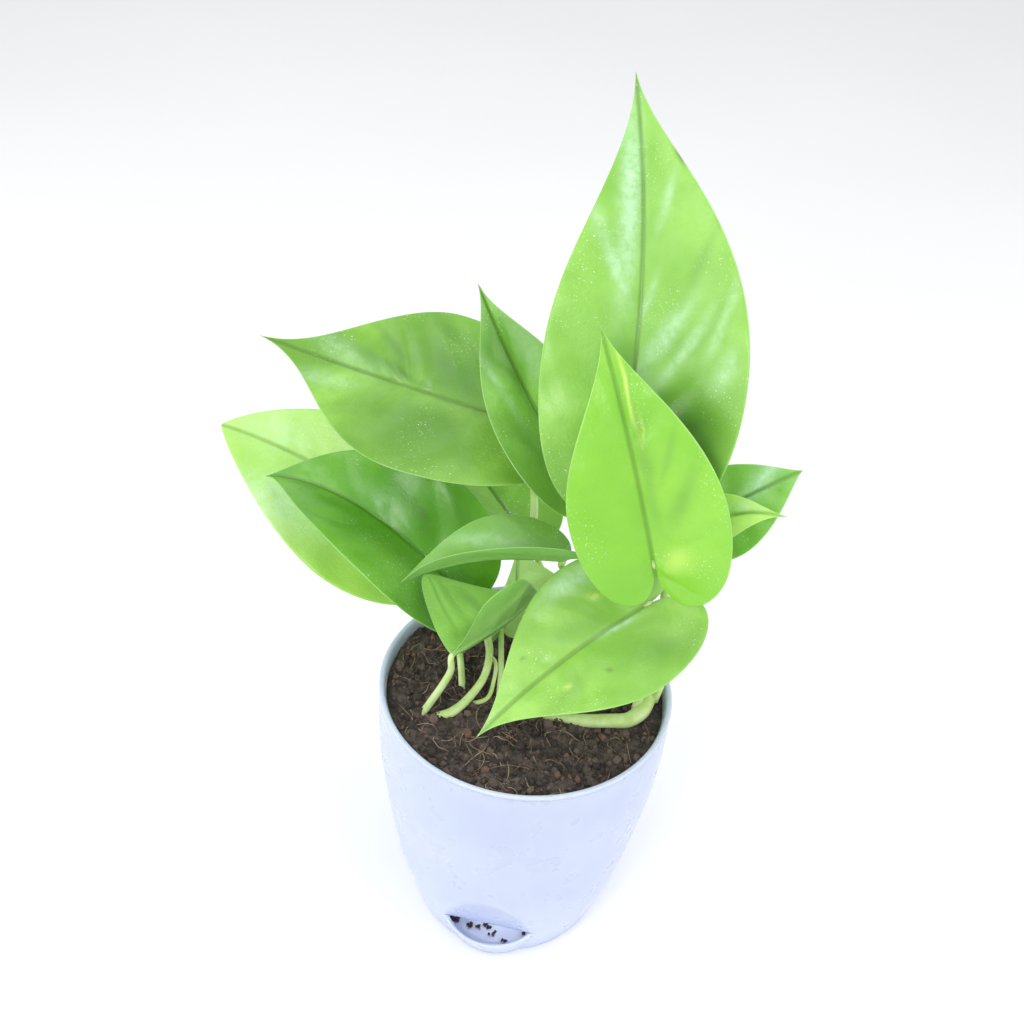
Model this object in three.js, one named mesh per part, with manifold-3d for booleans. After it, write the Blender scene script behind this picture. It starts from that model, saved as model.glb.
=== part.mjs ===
// Golden pothos in a white self-watering pot. Millimetres, +Z up.
// The origin is the middle of the pot's base, and the filling spout faces -Y.
import * as THREE from 'three';
import { mergeVertices } from 'three/addons/utils/BufferGeometryUtils.js';
import Module from 'manifold-3d';

const wasm = await Module();
wasm.setup();

// Pot
const POT_HEIGHT = 116;
const POT_RIM_RADIUS = 55;
const POT_WALL = 1.4;
const POT_FLOOR = 2.2;
// Outside radii at shares of the height, from the base to the rim
const POT_SHARES = [0, 0.1, 0.25, 0.5, 0.75, 1];
const POT_RADII = [37, 40.7, 45.6, 50.7, 54.3, POT_RIM_RADIUS];
const BASE_ROUND = 1.2;
// Levels of the points between the mouth and the rim
const WALL_LEVELS = [22, 26.5, 31, 35.5, 40, 44, 50, 62, 78, 96];

// Liner that hangs from the rim
const FLANGE_HEIGHT = 1.4;
const FLANGE_WIDTH = 1.7;
const FLANGE_GAP = 0.3;
const LINER_WALL = 1.1;
const LINER_FLOOR_Z = 30;
const LINER_FLOOR_RADIUS = 35.5;
const LINER_GAP = 0.3;
const LINER_INSIDE_Z = 31.5;
const LINER_SIDES = 40;
const LINER_STEPS = 5;
const DRAIN_COUNT = 6;
const DRAIN_RADIUS = 2;
const DRAIN_CIRCLE = 22;

// Wick
const WICK_RADIUS = 2.4;
const WICK_BOTTOM_Z = 3.4;
const WICK_TOP_Z = 52;
const WICK_CLEARANCE = 0.4;

// Filling spout: a flat facet above it and a scoop below it
const SPOUT_Z = 18.6;
const SPOUT_HALF_WIDTH = 17.8;
const SPOUT_BULGE = 10.5;
const FACET_TOP_Z = 43.5;
const FACET_TOP_Y = 48.4;
const SCOOP_BASE_SHARE = 0.37;
const SCOOP_BASE_WIDTH = 0.80;
const SCOOP_POWER = 1.25;
const SCOOP_LEVELS = [5.5, 10, 14.5];
const SPOUT_COLUMNS = 14;
const BACK_COLUMNS = 46;

// Soil
const SOIL_TOP_Z = 110.5;
const SOIL_RINGS = 6;
const SOIL_SIDES = 28;
const SOIL_LUMP = 0.9;
const SOIL_GAP = 0.35;
const LID_APEX = 90;

// Growth
const BLADE_THICKNESS = 0.7;
const BLADE_ROWS = 16;
const BLADE_COLUMNS = 3;
// Rows before this share fan out from the sinus, and the others spread along the midrib
const RIB_START = 0.10;
const RIB_POWER = 1.15;
// How far the middle of a row lies behind its ends, as a share of the blade's length
const ROW_LAG = 0.05;
// The petiole opens into the blade at the midrib, one row of points in front of the sinus
const JOINT_ROW = 2;
const JOINT_RADIUS = 0.85;
const JOINT_SHARE = 0.6;
const NECK_BACK = 0.5;
const NECK_DROP = 1.3;
const NECK_RADIUS = 0.8;
const STEEP_ARRIVAL = 0.3;
const PETIOLE_SIDES = 6;
const STEM_SIDES = 8;
const TUBE_STEPS_PER_POINT = 2;
const CUT_GAP = 0.3;
const SLIVER_HEIGHT = 0.03;
const SHORT_EDGE = 0.15;
const SLIVER_ROUNDS = 400;
// First point of a ring, upper left as seen along the tube
const RING_START = (5 * Math.PI) / 6;

const COLOURS = {
  pot: 0xe4e8f6,
  soil: 0x3a2a22,
  wick: 0xd8d0bc,
  stem: 0xb9d27c,
  leaf: 0x6fc62c,
};

const up = new THREE.Vector3(0, 0, 1);
const vec = (p) => new THREE.Vector3(p[0], p[1], p[2]);
const STEM_SIDE = new THREE.Vector3(1, 0.3, 0.1);

// Solids

function toManifold(geometry) {
  const bare = new THREE.BufferGeometry();
  bare.setAttribute('position', geometry.getAttribute('position').clone());
  if (geometry.index) bare.setIndex(geometry.index);
  const merged = mergeVertices(bare, 1e-5);
  const vertProperties = new Float32Array(merged.getAttribute('position').array);
  const triVerts = [];
  const index = merged.index.array;
  for (let i = 0; i < index.length; i += 3) {
    const [a, b, c] = [index[i], index[i + 1], index[i + 2]];
    if (a !== b && b !== c && a !== c) triVerts.push(a, b, c);
  }
  const mesh = new wasm.Mesh({ numProp: 3, vertProperties, triVerts: new Uint32Array(triVerts) });
  return new wasm.Manifold(mesh);
}

function toGeometry(solid) {
  const mesh = mainBody(solid).getMesh();
  const points = [];
  for (let i = 0; i < mesh.vertProperties.length; i += 3) {
    points.push(new THREE.Vector3(...mesh.vertProperties.slice(i, i + 3)));
  }
  const faces = [];
  for (let i = 0; i < mesh.triVerts.length; i += 3) faces.push([...mesh.triVerts.slice(i, i + 3)]);
  clearSlivers(points, faces);
  const geometry = mergeVertices(meshOf(points, faces.flat()), 1e-5);
  geometry.computeVertexNormals();
  return geometry;
}

// Takes out the thinnest triangles that a cut left, one at a time: a short edge is closed up, and
// a corner that lies almost on the edge opposite is joined across it.
function clearSlivers(points, faces) {
  for (let round = 0; round < SLIVER_ROUNDS; round++) {
    const thin = faces.map((face) => [height(face, points), face])
      .filter(([size]) => size < SLIVER_HEIGHT)
      .sort((a, b) => a[0] - b[0]);
    const mended = ([, face]) => closeShortEdge(face, points, faces) || turnLongEdge(face, points, faces);
    if (!thin.some(mended)) return;
  }
}

const edgesOf = ([a, b, c]) => [[a, b, c], [b, c, a], [c, a, b]];

function edgeLengths(face, points) {
  return edgesOf(face)
    .map(([a, b, apex]) => ({ a, b, apex, size: points[a].distanceTo(points[b]) }))
    .sort((one, other) => one.size - other.size);
}

function height(face, points) {
  const [a, b, c] = face.map((i) => points[i]);
  const area = new THREE.Vector3().crossVectors(b.clone().sub(a), c.clone().sub(a)).length();
  return area / edgeLengths(face, points)[2].size;
}

function neighbours(corner, faces) {
  const near = new Set(faces.filter((face) => face.includes(corner)).flat());
  near.delete(corner);
  return near;
}

function closeShortEdge(face, points, faces) {
  const { a, b, size } = edgeLengths(face, points)[0];
  const near = neighbours(b, faces);
  const shared = [...neighbours(a, faces)].filter((corner) => near.has(corner));
  if (size > SHORT_EDGE || shared.length !== 2) return false;
  points[a].lerp(points[b], 0.5);
  const kept = faces
    .filter((other) => !(other.includes(a) && other.includes(b)))
    .map((other) => other.map((corner) => (corner === b ? a : corner)));
  faces.splice(0, faces.length, ...kept);
  return true;
}

function turnLongEdge(face, points, faces) {
  const { a, b, apex } = edgeLengths(face, points)[2];
  const other = faces.find((near) => edgesOf(near).some(([p, q]) => p === b && q === a));
  const far = other.find((corner) => corner !== a && corner !== b);
  if (neighbours(apex, faces).has(far)) return false;
  const made = [[a, far, apex], [far, b, apex]];
  const lowest = (pair) => Math.min(...pair.map((one) => height(one, points)));
  if (lowest(made) <= lowest([face, other])) return false;
  const kept = faces.filter((one) => one !== face && one !== other);
  faces.splice(0, faces.length, ...kept, ...made);
  return true;
}

// The biggest body of a cut solid, without the loose scraps that the cut left
function mainBody(solid) {
  return solid.decompose().reduce((best, part) => (part.volume() > best.volume() ? part : best));
}

// A closed turned solid about Z, from a profile of [radius, z] that starts and ends on the axis
function turned(profile, sides) {
  const points = profile.map(([r, z]) => new THREE.Vector2(r, z));
  const lathe = new THREE.LatheGeometry(points, sides);
  lathe.rotateX(Math.PI / 2);
  return toManifold(lathe);
}

function cylinder(radius, bottom, top, sides, x = 0, y = 0) {
  const round = new THREE.CylinderGeometry(radius, radius, top - bottom, sides);
  round.rotateX(Math.PI / 2);
  round.translate(x, y, (top + bottom) / 2);
  return toManifold(round);
}

// A closed solid through a stack of rings that all have the same number of points
function lofted(rings) {
  const count = rings[0].length;
  const belts = rings.map((ring, k) => ring.map((_, i) => k * count + i));
  const vertices = [...rings.flat(), middle(rings[0]), middle(rings.at(-1))];
  const [foot, head] = [vertices.length - 2, vertices.length - 1];
  const index = [...capped(belts[0], foot), ...capped(belts.at(-1).toReversed(), head)];
  for (let k = 0; k + 1 < belts.length; k++) index.push(...joined(belts[k], belts[k + 1]));
  return toManifold(meshOf(vertices, index));
}

// Faces between two rings of the same number of points
function joined(from, to) {
  return from.flatMap((a, i) => {
    const next = (i + 1) % from.length;
    return [a, from[next], to[next], a, to[next], to[i]];
  });
}

// Faces that close the first ring of a tube
function capped(ring, centre) {
  return ring.flatMap((a, i) => [centre, ring[(i + 1) % ring.length], a]);
}

function middle(points) {
  const sum = new THREE.Vector3();
  points.forEach((p) => sum.add(p));
  return sum.divideScalar(points.length);
}

function meshOf(vertices, index) {
  const geometry = new THREE.BufferGeometry().setFromPoints(vertices);
  geometry.setIndex(index);
  return geometry;
}

// Rings of points round a smooth curve, with the radius changing evenly from one listed value to the
// next. The side is the way to the right of the first ring point at the curve's end, and it is
// carried along the curve without a twist. The last steps of the curve can be left out.
function tubeRings({ points, radii, sides, side, grow = 0, skipped = 0 }) {
  const curve = new THREE.CatmullRomCurve3(points.map(vec), false, 'centripetal');
  const steps = (points.length - 1) * TUBE_STEPS_PER_POINT;
  const last = steps - skipped;
  const rings = [];
  let right = side.clone();
  for (let k = last; k >= 0; k--) {
    const along = curve.getTangent(k / steps);
    right = right.addScaledVector(along, -right.dot(along)).normalize();
    const over = new THREE.Vector3().crossVectors(right, along);
    const reach = k === 0 ? -grow : k === last ? grow : 0;
    const centre = curve.getPoint(k / steps).addScaledVector(along, reach);
    const place = (k / last) * (radii.length - 1);
    const low = Math.min(Math.floor(place), radii.length - 2);
    const radius = THREE.MathUtils.lerp(radii[low], radii[low + 1], place - low) + grow;
    rings.unshift(Array.from({ length: sides }, (_, i) => {
      const angle = RING_START - (2 * Math.PI * i) / sides;
      return centre.clone()
        .addScaledVector(right, radius * Math.cos(angle))
        .addScaledVector(over, radius * Math.sin(angle));
    }));
  }
  return rings;
}

// Pot

// A smooth curve through the listed radii
function potRadius(z) {
  const share = THREE.MathUtils.clamp(z / POT_HEIGHT, 0, 1);
  let k = 0;
  while (k < POT_SHARES.length - 2 && share > POT_SHARES[k + 1]) k++;
  const t = (share - POT_SHARES[k]) / (POT_SHARES[k + 1] - POT_SHARES[k]);
  const slope = (i) => {
    const low = Math.max(i - 1, 0);
    const high = Math.min(i + 1, POT_SHARES.length - 1);
    return (POT_RADII[high] - POT_RADII[low]) / (POT_SHARES[high] - POT_SHARES[low]);
  };
  const span = POT_SHARES[k + 1] - POT_SHARES[k];
  const [a, b] = [POT_RADII[k], POT_RADII[k + 1]];
  const [ta, tb] = [slope(k) * span, slope(k + 1) * span];
  const [t2, t3] = [t * t, t * t * t];
  return a * (2 * t3 - 3 * t2 + 1) + ta * (t3 - 2 * t2 + t) + b * (3 * t2 - 2 * t3) + tb * (t3 - t2);
}

const SPOUT_CHORD_Y = Math.sqrt(potRadius(SPOUT_Z) ** 2 - SPOUT_HALF_WIDTH ** 2);
const SPOUT_ANGLE = Math.asin(SPOUT_HALF_WIDTH / potRadius(SPOUT_Z));
const SHELL_TOP_Z = POT_HEIGHT - FLANGE_HEIGHT - FLANGE_GAP;

// Directions round the pot, from -Y towards +X, with the spout's own steps first
function potAngles() {
  const back = 2 * Math.PI - 2 * SPOUT_ANGLE;
  const angles = [];
  for (let i = 0; i < SPOUT_COLUMNS; i++) angles.push(SPOUT_ANGLE * ((2 * i) / SPOUT_COLUMNS - 1));
  for (let i = 0; i < BACK_COLUMNS; i++) angles.push(SPOUT_ANGLE + (back * i) / BACK_COLUMNS);
  return angles;
}

// Distance from the axis to the spout's round lip, at the height of the mouth
function lipRadius(angle) {
  const radius = (SPOUT_BULGE ** 2 + SPOUT_HALF_WIDTH ** 2) / (2 * SPOUT_BULGE);
  const centre = SPOUT_CHORD_Y + SPOUT_BULGE - radius;
  return centre * Math.cos(angle) + Math.sqrt(radius ** 2 - (centre * Math.sin(angle)) ** 2);
}

// Below the mouth a scoop swells out of the wall, a little narrower at its foot
function scoopRadius(angle, z) {
  const share = THREE.MathUtils.clamp(z / SPOUT_Z, 0, 1);
  const reach = SPOUT_ANGLE * THREE.MathUtils.lerp(SCOOP_BASE_WIDTH, 1, share);
  const away = Math.min(angle, 2 * Math.PI - angle);
  if (Math.abs(away) > reach - 1e-6) return potRadius(z);
  const swell = THREE.MathUtils.lerp(SCOOP_BASE_SHARE, 1, share ** SCOOP_POWER);
  return potRadius(z) + (lipRadius((away / reach) * SPOUT_ANGLE) - potRadius(SPOUT_Z)) * swell;
}

// Above the mouth a flat facet is cut into the wall
function facetRadius(angle, z) {
  const away = Math.min(angle, 2 * Math.PI - angle);
  if (Math.abs(away) > SPOUT_ANGLE - 1e-6) return potRadius(z);
  const slope = (FACET_TOP_Y - SPOUT_CHORD_Y) / (FACET_TOP_Z - SPOUT_Z);
  return Math.min(potRadius(z), (SPOUT_CHORD_Y + slope * (z - SPOUT_Z)) / Math.cos(away));
}

// The shell as rings of points, each running round the pot. The part below the mouth and the part
// above it share their points at the mouth's level, except across the mouth itself.
function outerPotSolid() {
  const angles = potAngles();
  const count = angles.length;
  const ring = (radiusAt, level, z, inset) => angles.map((angle) => {
    const radius = radiusAt(angle, level) - inset;
    return new THREE.Vector3(radius * Math.sin(angle), -radius * Math.cos(angle), z);
  });
  const wall = (radiusAt, levels, floor) => [
    ...levels.map((z) => ring(radiusAt, z, z, 0)),
    ...levels.toReversed().map((z) => Math.max(z, floor)).map((z) => ring(radiusAt, z, z, POT_WALL)),
  ];
  const foot = ring(scoopRadius, BASE_ROUND, 0, BASE_ROUND);
  const low = [foot, ...wall(scoopRadius, [BASE_ROUND, ...SCOOP_LEVELS, SPOUT_Z], POT_FLOOR)];
  const high = wall(facetRadius, [SPOUT_Z, ...WALL_LEVELS, SHELL_TOP_Z], SPOUT_Z);
  const vertices = [...low, ...high].flat();
  const index = [];
  const join = (from, to, columns) => {
    for (let i = 0; i < columns; i++) {
      const [a, b] = [from * count + i, from * count + (i + 1) % count];
      const [d, e] = [to * count + i, to * count + (i + 1) % count];
      index.push(a, b, e, a, e, d);
    }
  };
  const lipRow = SCOOP_LEVELS.length + 2;
  for (let k = 0; k + 1 < low.length; k++) join(k, k + 1, k === lipRow ? SPOUT_COLUMNS : count);
  for (let k = 0; k + 1 < high.length; k++) join(low.length + k, low.length + k + 1, count);
  join(low.length + high.length - 1, low.length, SPOUT_COLUMNS);
  const [base, floor] = [vertices.length, vertices.length + 1];
  vertices.push(new THREE.Vector3(0, 0, 0), new THREE.Vector3(0, 0, POT_FLOOR));
  const last = (low.length - 1) * count;
  for (let i = 0; i < count; i++) {
    index.push(base, (i + 1) % count, i);
    index.push(floor, last + i, last + (i + 1) % count);
  }
  return toManifold(meshOf(vertices, index));
}

// Outside radius of the liner's wall: it follows the outer pot near the rim and draws in below
function linerRadius(z) {
  const free = potRadius(z) - POT_WALL - LINER_GAP;
  const share = (z - LINER_FLOOR_Z) / (POT_HEIGHT - FLANGE_HEIGHT - LINER_FLOOR_Z);
  const topRadius = potRadius(POT_HEIGHT - FLANGE_HEIGHT) - POT_WALL - LINER_GAP;
  const swell = Math.sin((share * Math.PI) / 2) ** 0.85;
  const drawnIn = THREE.MathUtils.lerp(LINER_FLOOR_RADIUS, topRadius, swell);
  return Math.min(free, drawnIn);
}

const linerLevels = Array.from({ length: LINER_STEPS + 1 }, (_, k) =>
  THREE.MathUtils.lerp(LINER_FLOOR_Z, POT_HEIGHT - FLANGE_HEIGHT, k / LINER_STEPS));

// The liner's inside, from its floor up, moved in by a gap
function linerInside(gap) {
  const raised = linerLevels.map((z) => Math.max(z, LINER_INSIDE_Z + gap));
  return raised.map((z) => [linerRadius(z) - LINER_WALL - gap, z]);
}

function innerPotSolid() {
  const flangeBottom = POT_HEIGHT - FLANGE_HEIGHT;
  const outside = linerLevels.map((z) => [linerRadius(z), z]);
  const rim = [
    [POT_RIM_RADIUS, flangeBottom],
    [POT_RIM_RADIUS, POT_HEIGHT],
    [POT_RIM_RADIUS - FLANGE_WIDTH, POT_HEIGHT],
  ];
  const inside = linerInside(0).slice(0, -1).reverse();
  const profile = [[0, LINER_FLOOR_Z], ...outside, ...rim, ...inside, [0, LINER_INSIDE_Z]];
  let solid = turned(profile, LINER_SIDES);
  const drill = [LINER_FLOOR_Z - 1, LINER_INSIDE_Z + 1];
  solid = solid.subtract(cylinder(WICK_RADIUS + WICK_CLEARANCE, ...drill, 16));
  for (let i = 0; i < DRAIN_COUNT; i++) {
    const angle = (2 * Math.PI * (i + 0.5)) / DRAIN_COUNT;
    const [x, y] = [DRAIN_CIRCLE * Math.cos(angle), DRAIN_CIRCLE * Math.sin(angle)];
    solid = solid.subtract(cylinder(DRAIN_RADIUS, ...drill, 12, x, y));
  }
  return solid;
}

function wickSolid() {
  return cylinder(WICK_RADIUS, WICK_BOTTOM_Z, WICK_TOP_Z, 12);
}

// Soil: a plug with a lumpy top, a little higher at the left
function soilHeight(x, y) {
  const lump = Math.sin(x * 0.21 + 1.3) * Math.cos(y * 0.26) + 0.6 * Math.sin(x * 0.47 - y * 0.39);
  return SOIL_TOP_Z - 0.015 * x + SOIL_LUMP * lump * 0.6;
}

function soilSolid() {
  const wall = linerInside(SOIL_GAP);
  const floorZ = LINER_INSIDE_Z + SOIL_GAP;
  const plug = turned([[0, floorZ], ...wall, [0, wall.at(-1)[1]]], LINER_SIDES);
  const wickHole = cylinder(WICK_RADIUS + WICK_CLEARANCE, floorZ - 2, WICK_TOP_Z + 0.5, 12);
  return plug.subtract(lumpyLid()).subtract(wickHole);
}

// The space above the soil, with the lumpy surface as its underside
function lumpyLid() {
  const reach = POT_RIM_RADIUS + 2;
  const vertices = [new THREE.Vector3(0, 0, soilHeight(0, 0))];
  const index = [];
  for (let k = 1; k <= SOIL_RINGS; k++) {
    for (let i = 0; i < SOIL_SIDES; i++) {
      const angle = (2 * Math.PI * (i + 0.5 * (k % 2))) / SOIL_SIDES;
      const radius = reach * (k / SOIL_RINGS);
      const [x, y] = [radius * Math.cos(angle), radius * Math.sin(angle)];
      vertices.push(new THREE.Vector3(x, y, soilHeight(x, y)));
    }
  }
  const at = (k, i) => 1 + (k - 1) * SOIL_SIDES + (i % SOIL_SIDES);
  for (let i = 0; i < SOIL_SIDES; i++) index.push(0, at(1, i + 1), at(1, i));
  for (let k = 1; k < SOIL_RINGS; k++) {
    for (let i = 0; i < SOIL_SIDES; i++) {
      index.push(at(k, i), at(k, i + 1), at(k + 1, i), at(k, i + 1), at(k + 1, i + 1), at(k + 1, i));
    }
  }
  const top = vertices.length;
  vertices.push(new THREE.Vector3(0, 0, SOIL_TOP_Z + LID_APEX));
  for (let i = 0; i < SOIL_SIDES; i++) index.push(top, at(SOIL_RINGS, i), at(SOIL_RINGS, i + 1));
  return toManifold(meshOf(vertices, index));
}

// Stems: points along the middle, and the radii along them
const STEMS = {
  stem_right: {
    runs: [{
      points: [[6, -9, 107.5], [15, -9, 111], [24, -9.2, 112.3], [33, -7, 112.5], [40, -5, 113],
        [44, 0, 113.6], [45.5, 8, 113.6], [45, 14, 112], [44, 18, 108]],
      radii: [1.4, 1.7, 2.5, 2.7, 2.9, 3.1, 2.9, 2.5, 1.8],
    }],
  },
  stem_left: {
    runs: [{
      points: [[-32, -22, 106], [-29, -21, 110.5], [-24, -18, 112], [-20, -13, 114], [-15.5, -4, 119],
        [-15.4, 3.5, 124.5], [-17.6, 8.5, 127.6]],
      radii: [1.9, 1.9, 1.9, 1.7, 1.5, 1.5, 1.5],
    }, {
      points: [[-15.6, 3.2, 124], [-12.8, 4, 119], [-12.2, -1, 114.5], [-13, -8, 112.2],
        [-19, -11.5, 110.6], [-23, -12, 107]],
      radii: [0.9, 0.8, 0.8, 0.9, 1.0, 0.8],
    }],
  },
  stem_back: {
    runs: [{
      points: [[18, 30, 100], [18, 29, 115], [18, 27.5, 135], [18, 26, 151]],
      radii: [3.0, 3.0, 2.7, 2.3],
    }],
  },
};

function stemSolid(stem, grow = 0) {
  const tubes = stem.runs.map((run) => lofted(tubeRings({ ...run, sides: STEM_SIDES, side: STEM_SIDE, grow })));
  return tubes.reduce((sum, part) => sum.add(part));
}

// Leaves. base and tip are the ends of the midrib, face is the way the upper side looks, and
// width, fold and curl are those of the left and the right half, seen from base to tip.
// petiole lists the points before the base, and petioleRadii its thickness from foot to blade.
const LEAVES = {
  leaf_tall_back: {
    base: [21, 16.5, 196], tip: [3, 94, 317], face: [-0.10, -0.87, 0.48],
    width: [32, 45], fold: [14, 24], curl: [-1, 8], arch: 5, sweep: 7, twist: -2,
    lobe: 0.05, widest: 0.30, taper: 0.21, tipWidth: 0.10, wave: [0.7, 2.5, 0.4],
    petiole: [[19, 26, 147], [19.5, 27, 156], [21, 28, 172]], petioleRadii: [1.8, 1.5, 1.4],
  },
  leaf_front: {
    base: [39.5, -0.5, 184], tip: [8, 29, 256.5], face: [-0.15, -0.82, 0.55],
    width: [26, 32], fold: [12, 24], curl: [1, 0], arch: 4.7, sweep: 2, twist: -3,
    lobe: 0.15, widest: 0.24, taper: 0.22, tipWidth: 0.09, wave: [0.5, 2, 1.2],
    petiole: [[45.5, 10, 112], [47, 20, 130], [44.5, 28, 148], [43.3, 29.5, 158], [42.5, 27.5, 168], [42, 20, 176],
      [41, 9, 181]],
    petioleRadii: [1.8, 1.5, 1.3, 1.3],
  },
  leaf_low_front: {
    base: [40, 7.5, 160.5], tip: [-10, -43, 129], face: [-0.15, -0.50, 0.85],
    width: [31, 27], fold: [12, 12], curl: [-1, 1], arch: 4.6, sweep: 1, twist: 0,
    lobe: 0.17, widest: 0.25, taper: 0.25, tipWidth: 0.09, wave: [0.6, 2, 2.0],
    petiole: [[42, 1, 113], [43, 8, 128], [42, 13, 146]], petioleRadii: [1.9, 1.5, 1.3],
  },
  leaf_folded_left: {
    base: [7, 7, 173.5], tip: [-49, -3, 156.5], face: [0, -0.22, 0.98],
    width: [20.5, 16.5], fold: [62, 13], curl: [1, -1], arch: 10.8, sweep: -3, twist: 2,
    lobe: 0.06, widest: 0.28, taper: 0.16, tipWidth: 0.11, wave: [0.5, 2, 0],
    petiole: [[16, 24, 145], [12, 21, 153], [6.4, 14, 164]], petioleRadii: [1.5, 1.2, 1.1],
  },
  leaf_upright: {
    base: [8, 29, 189.5], tip: [-44, 81, 234.5], face: [-0.12, -0.78, 0.62],
    width: [20, 23], fold: [40, 32], curl: [1, -1], arch: 3.2, sweep: -1.3, twist: 1.5,
    lobe: 0.11, widest: 0.28, taper: 0.20, tipWidth: 0.10, wave: [0.4, 2, 0.6],
    petiole: [[17, 29, 145], [15, 30.5, 158], [12, 31, 172]], petioleRadii: [1.5, 1.3, 1.2],
  },
  leaf_upper_left: {
    base: [-24.5, 52, 197.5], tip: [-126, 69.5, 203], face: [0.11, -0.44, 0.89],
    width: [39, 33.5], fold: [13, 8], curl: [1, 1], arch: 2.4, sweep: -2.3, twist: 3,
    lobe: 0.22, widest: 0.28, taper: 0.30, tipWidth: 0.08, wave: [0.8, 2, 2.5],
    petiole: [[-9, 38, 102], [-9, 38, 125], [-9, 38, 150], [-9, 38, 172], [-14, 44, 188]],
    petioleRadii: [2.0, 1.7, 1.5, 1.4],
  },
  leaf_lower_left: {
    base: [-29.5, 23, 130], tip: [-120, 52.5, 148.5], face: [0.21, -0.41, 0.89],
    width: [33, 30], fold: [29, 25.5], curl: [6, 0], arch: 23.5, sweep: 0, twist: 2,
    lobe: 0.03, widest: 0.24, taper: 0.17, tipWidth: 0.11, wave: [0.6, 2, 0.8],
    petiole: [[-19.4, 9.2, 128], [-25, 16.5, 129.8]], petioleRadii: [1.5, 1.4],
  },
  leaf_far_left: {
    base: [-51.5, 55.5, 128.5], tip: [-149.5, 80, 149], face: [0.12, -0.58, 0.80],
    width: [39.5, 30], fold: [10, 19.5], curl: [-1, 0], arch: 10, sweep: 2.3, twist: 1,
    lobe: 0.12, widest: 0.24, taper: 0.03, tipWidth: 0.13, wave: [0.7, 2, 1.5],
    petiole: [[-22, -9, 104], [-24, -3, 114], [-28, 8, 119.5], [-35, 26, 121], [-43, 43, 123]],
    petioleRadii: [1.3, 1.3, 1.3, 1.3],
  },
  leaf_small_folded: {
    base: [-25, -20.5, 144], tip: [0.5, 15, 150.5], face: [-0.29, 0, 0.96],
    width: [36, 25], fold: [18, 63], curl: [1, 3], arch: 0.5, sweep: 3.5, twist: 4,
    lobe: 0.02, widest: 0.24, taper: 0.21, tipWidth: 0.10, wave: [0.4, 1.5, 0],
    petiole: [[-37, -22, 106], [-33, -19.5, 114], [-27.5, -19, 127], [-25, -19.5, 135]],
    petioleRadii: [1.5, 1.4, 1.3],
  },
  leaf_hidden_back: {
    base: [-12.5, 51.5, 142.5], tip: [-56.5, 83.5, 166], face: [0.29, -0.56, 0.78],
    width: [17.5, 23.5], fold: [35, 12], curl: [0, 0], arch: 3.7, sweep: -1, twist: 0,
    lobe: 0.10, widest: 0.26, taper: 0.20, tipWidth: 0.10, wave: [0.4, 2, 0.3],
    petiole: [[-2, 47.5, 102], [-2, 48, 116], [-4, 49.5, 128]], petioleRadii: [1.5, 1.3, 1.2],
  },
  leaf_right_back: {
    base: [52, 49, 168], tip: [86, 61.5, 191], face: [0.05, -0.65, 0.76],
    width: [16, 20], fold: [23, 18], curl: [1, -1], arch: 4.4, sweep: 0, twist: 0,
    lobe: 0.12, widest: 0.25, taper: 0.14, tipWidth: 0.12, wave: [0.4, 2, 0.9],
    petiole: [[45, 15, 112], [48, 25, 132], [50.5, 36, 150], [52, 46, 161]], petioleRadii: [1.6, 1.3, 1.2],
  },
  leaf_right_small: {
    base: [55.5, 33, 169.5], tip: [81.5, 31, 191.5], face: [-0.02, -0.46, 0.89],
    width: [11, 14.5], fold: [24, 23], curl: [0, 0], arch: 11, sweep: -2.4, twist: 0,
    lobe: 0.12, widest: 0.26, taper: 0.19, tipWidth: 0.10, wave: [0.3, 2, 0],
    petiole: [[48, 6.5, 113.5], [52.3, 16, 135], [56, 27, 155]], petioleRadii: [1.5, 1.3, 1.1],
  },
  leaf_centre_back: {
    base: [-14.5, 24.5, 118.5], tip: [-12.5, 27.5, 157.5], face: [0.64, -0.66, 0.39],
    width: [15.5, 26], fold: [28, 20], curl: [-1, -1], arch: 1.1, sweep: 1.6, twist: -2,
    lobe: 0.12, widest: 0.27, taper: 0.20, tipWidth: 0.10, wave: [0.4, 2, 1.4],
    petiole: [[-8, -11, 105], [-10.3, 3, 115], [-12.6, 13, 118.4]], petioleRadii: [1.3, 1.1, 1.0],
  },
};

// Outline of one half of a heart-shaped blade: x runs along the midrib from the sinus (0) to the
// tip (1), y is the share of the half's full width.
function margin(spec) {
  const lobeRows = Math.round(BLADE_ROWS * 0.38);
  const bladeRows = BLADE_ROWS - lobeRows;
  const p = (x, y) => new THREE.Vector2(x, y);
  const lobeCurve = new THREE.CubicBezierCurve(
    p(0, 0), p(-2 * spec.lobe, 0.10), p(-spec.lobe, 1), p(spec.widest, 1));
  const bladeCurve = new THREE.CubicBezierCurve(
    p(spec.widest, 1), p(spec.widest + 0.30, 1), p(1 - spec.taper, spec.tipWidth), p(1, 0));
  const points = [];
  for (let k = 0; k < lobeRows; k++) points.push(lobeCurve.getPoint(k / lobeRows));
  for (let k = 0; k <= bladeRows; k++) points.push(bladeCurve.getPoint(k / bladeRows));
  return points;
}

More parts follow.
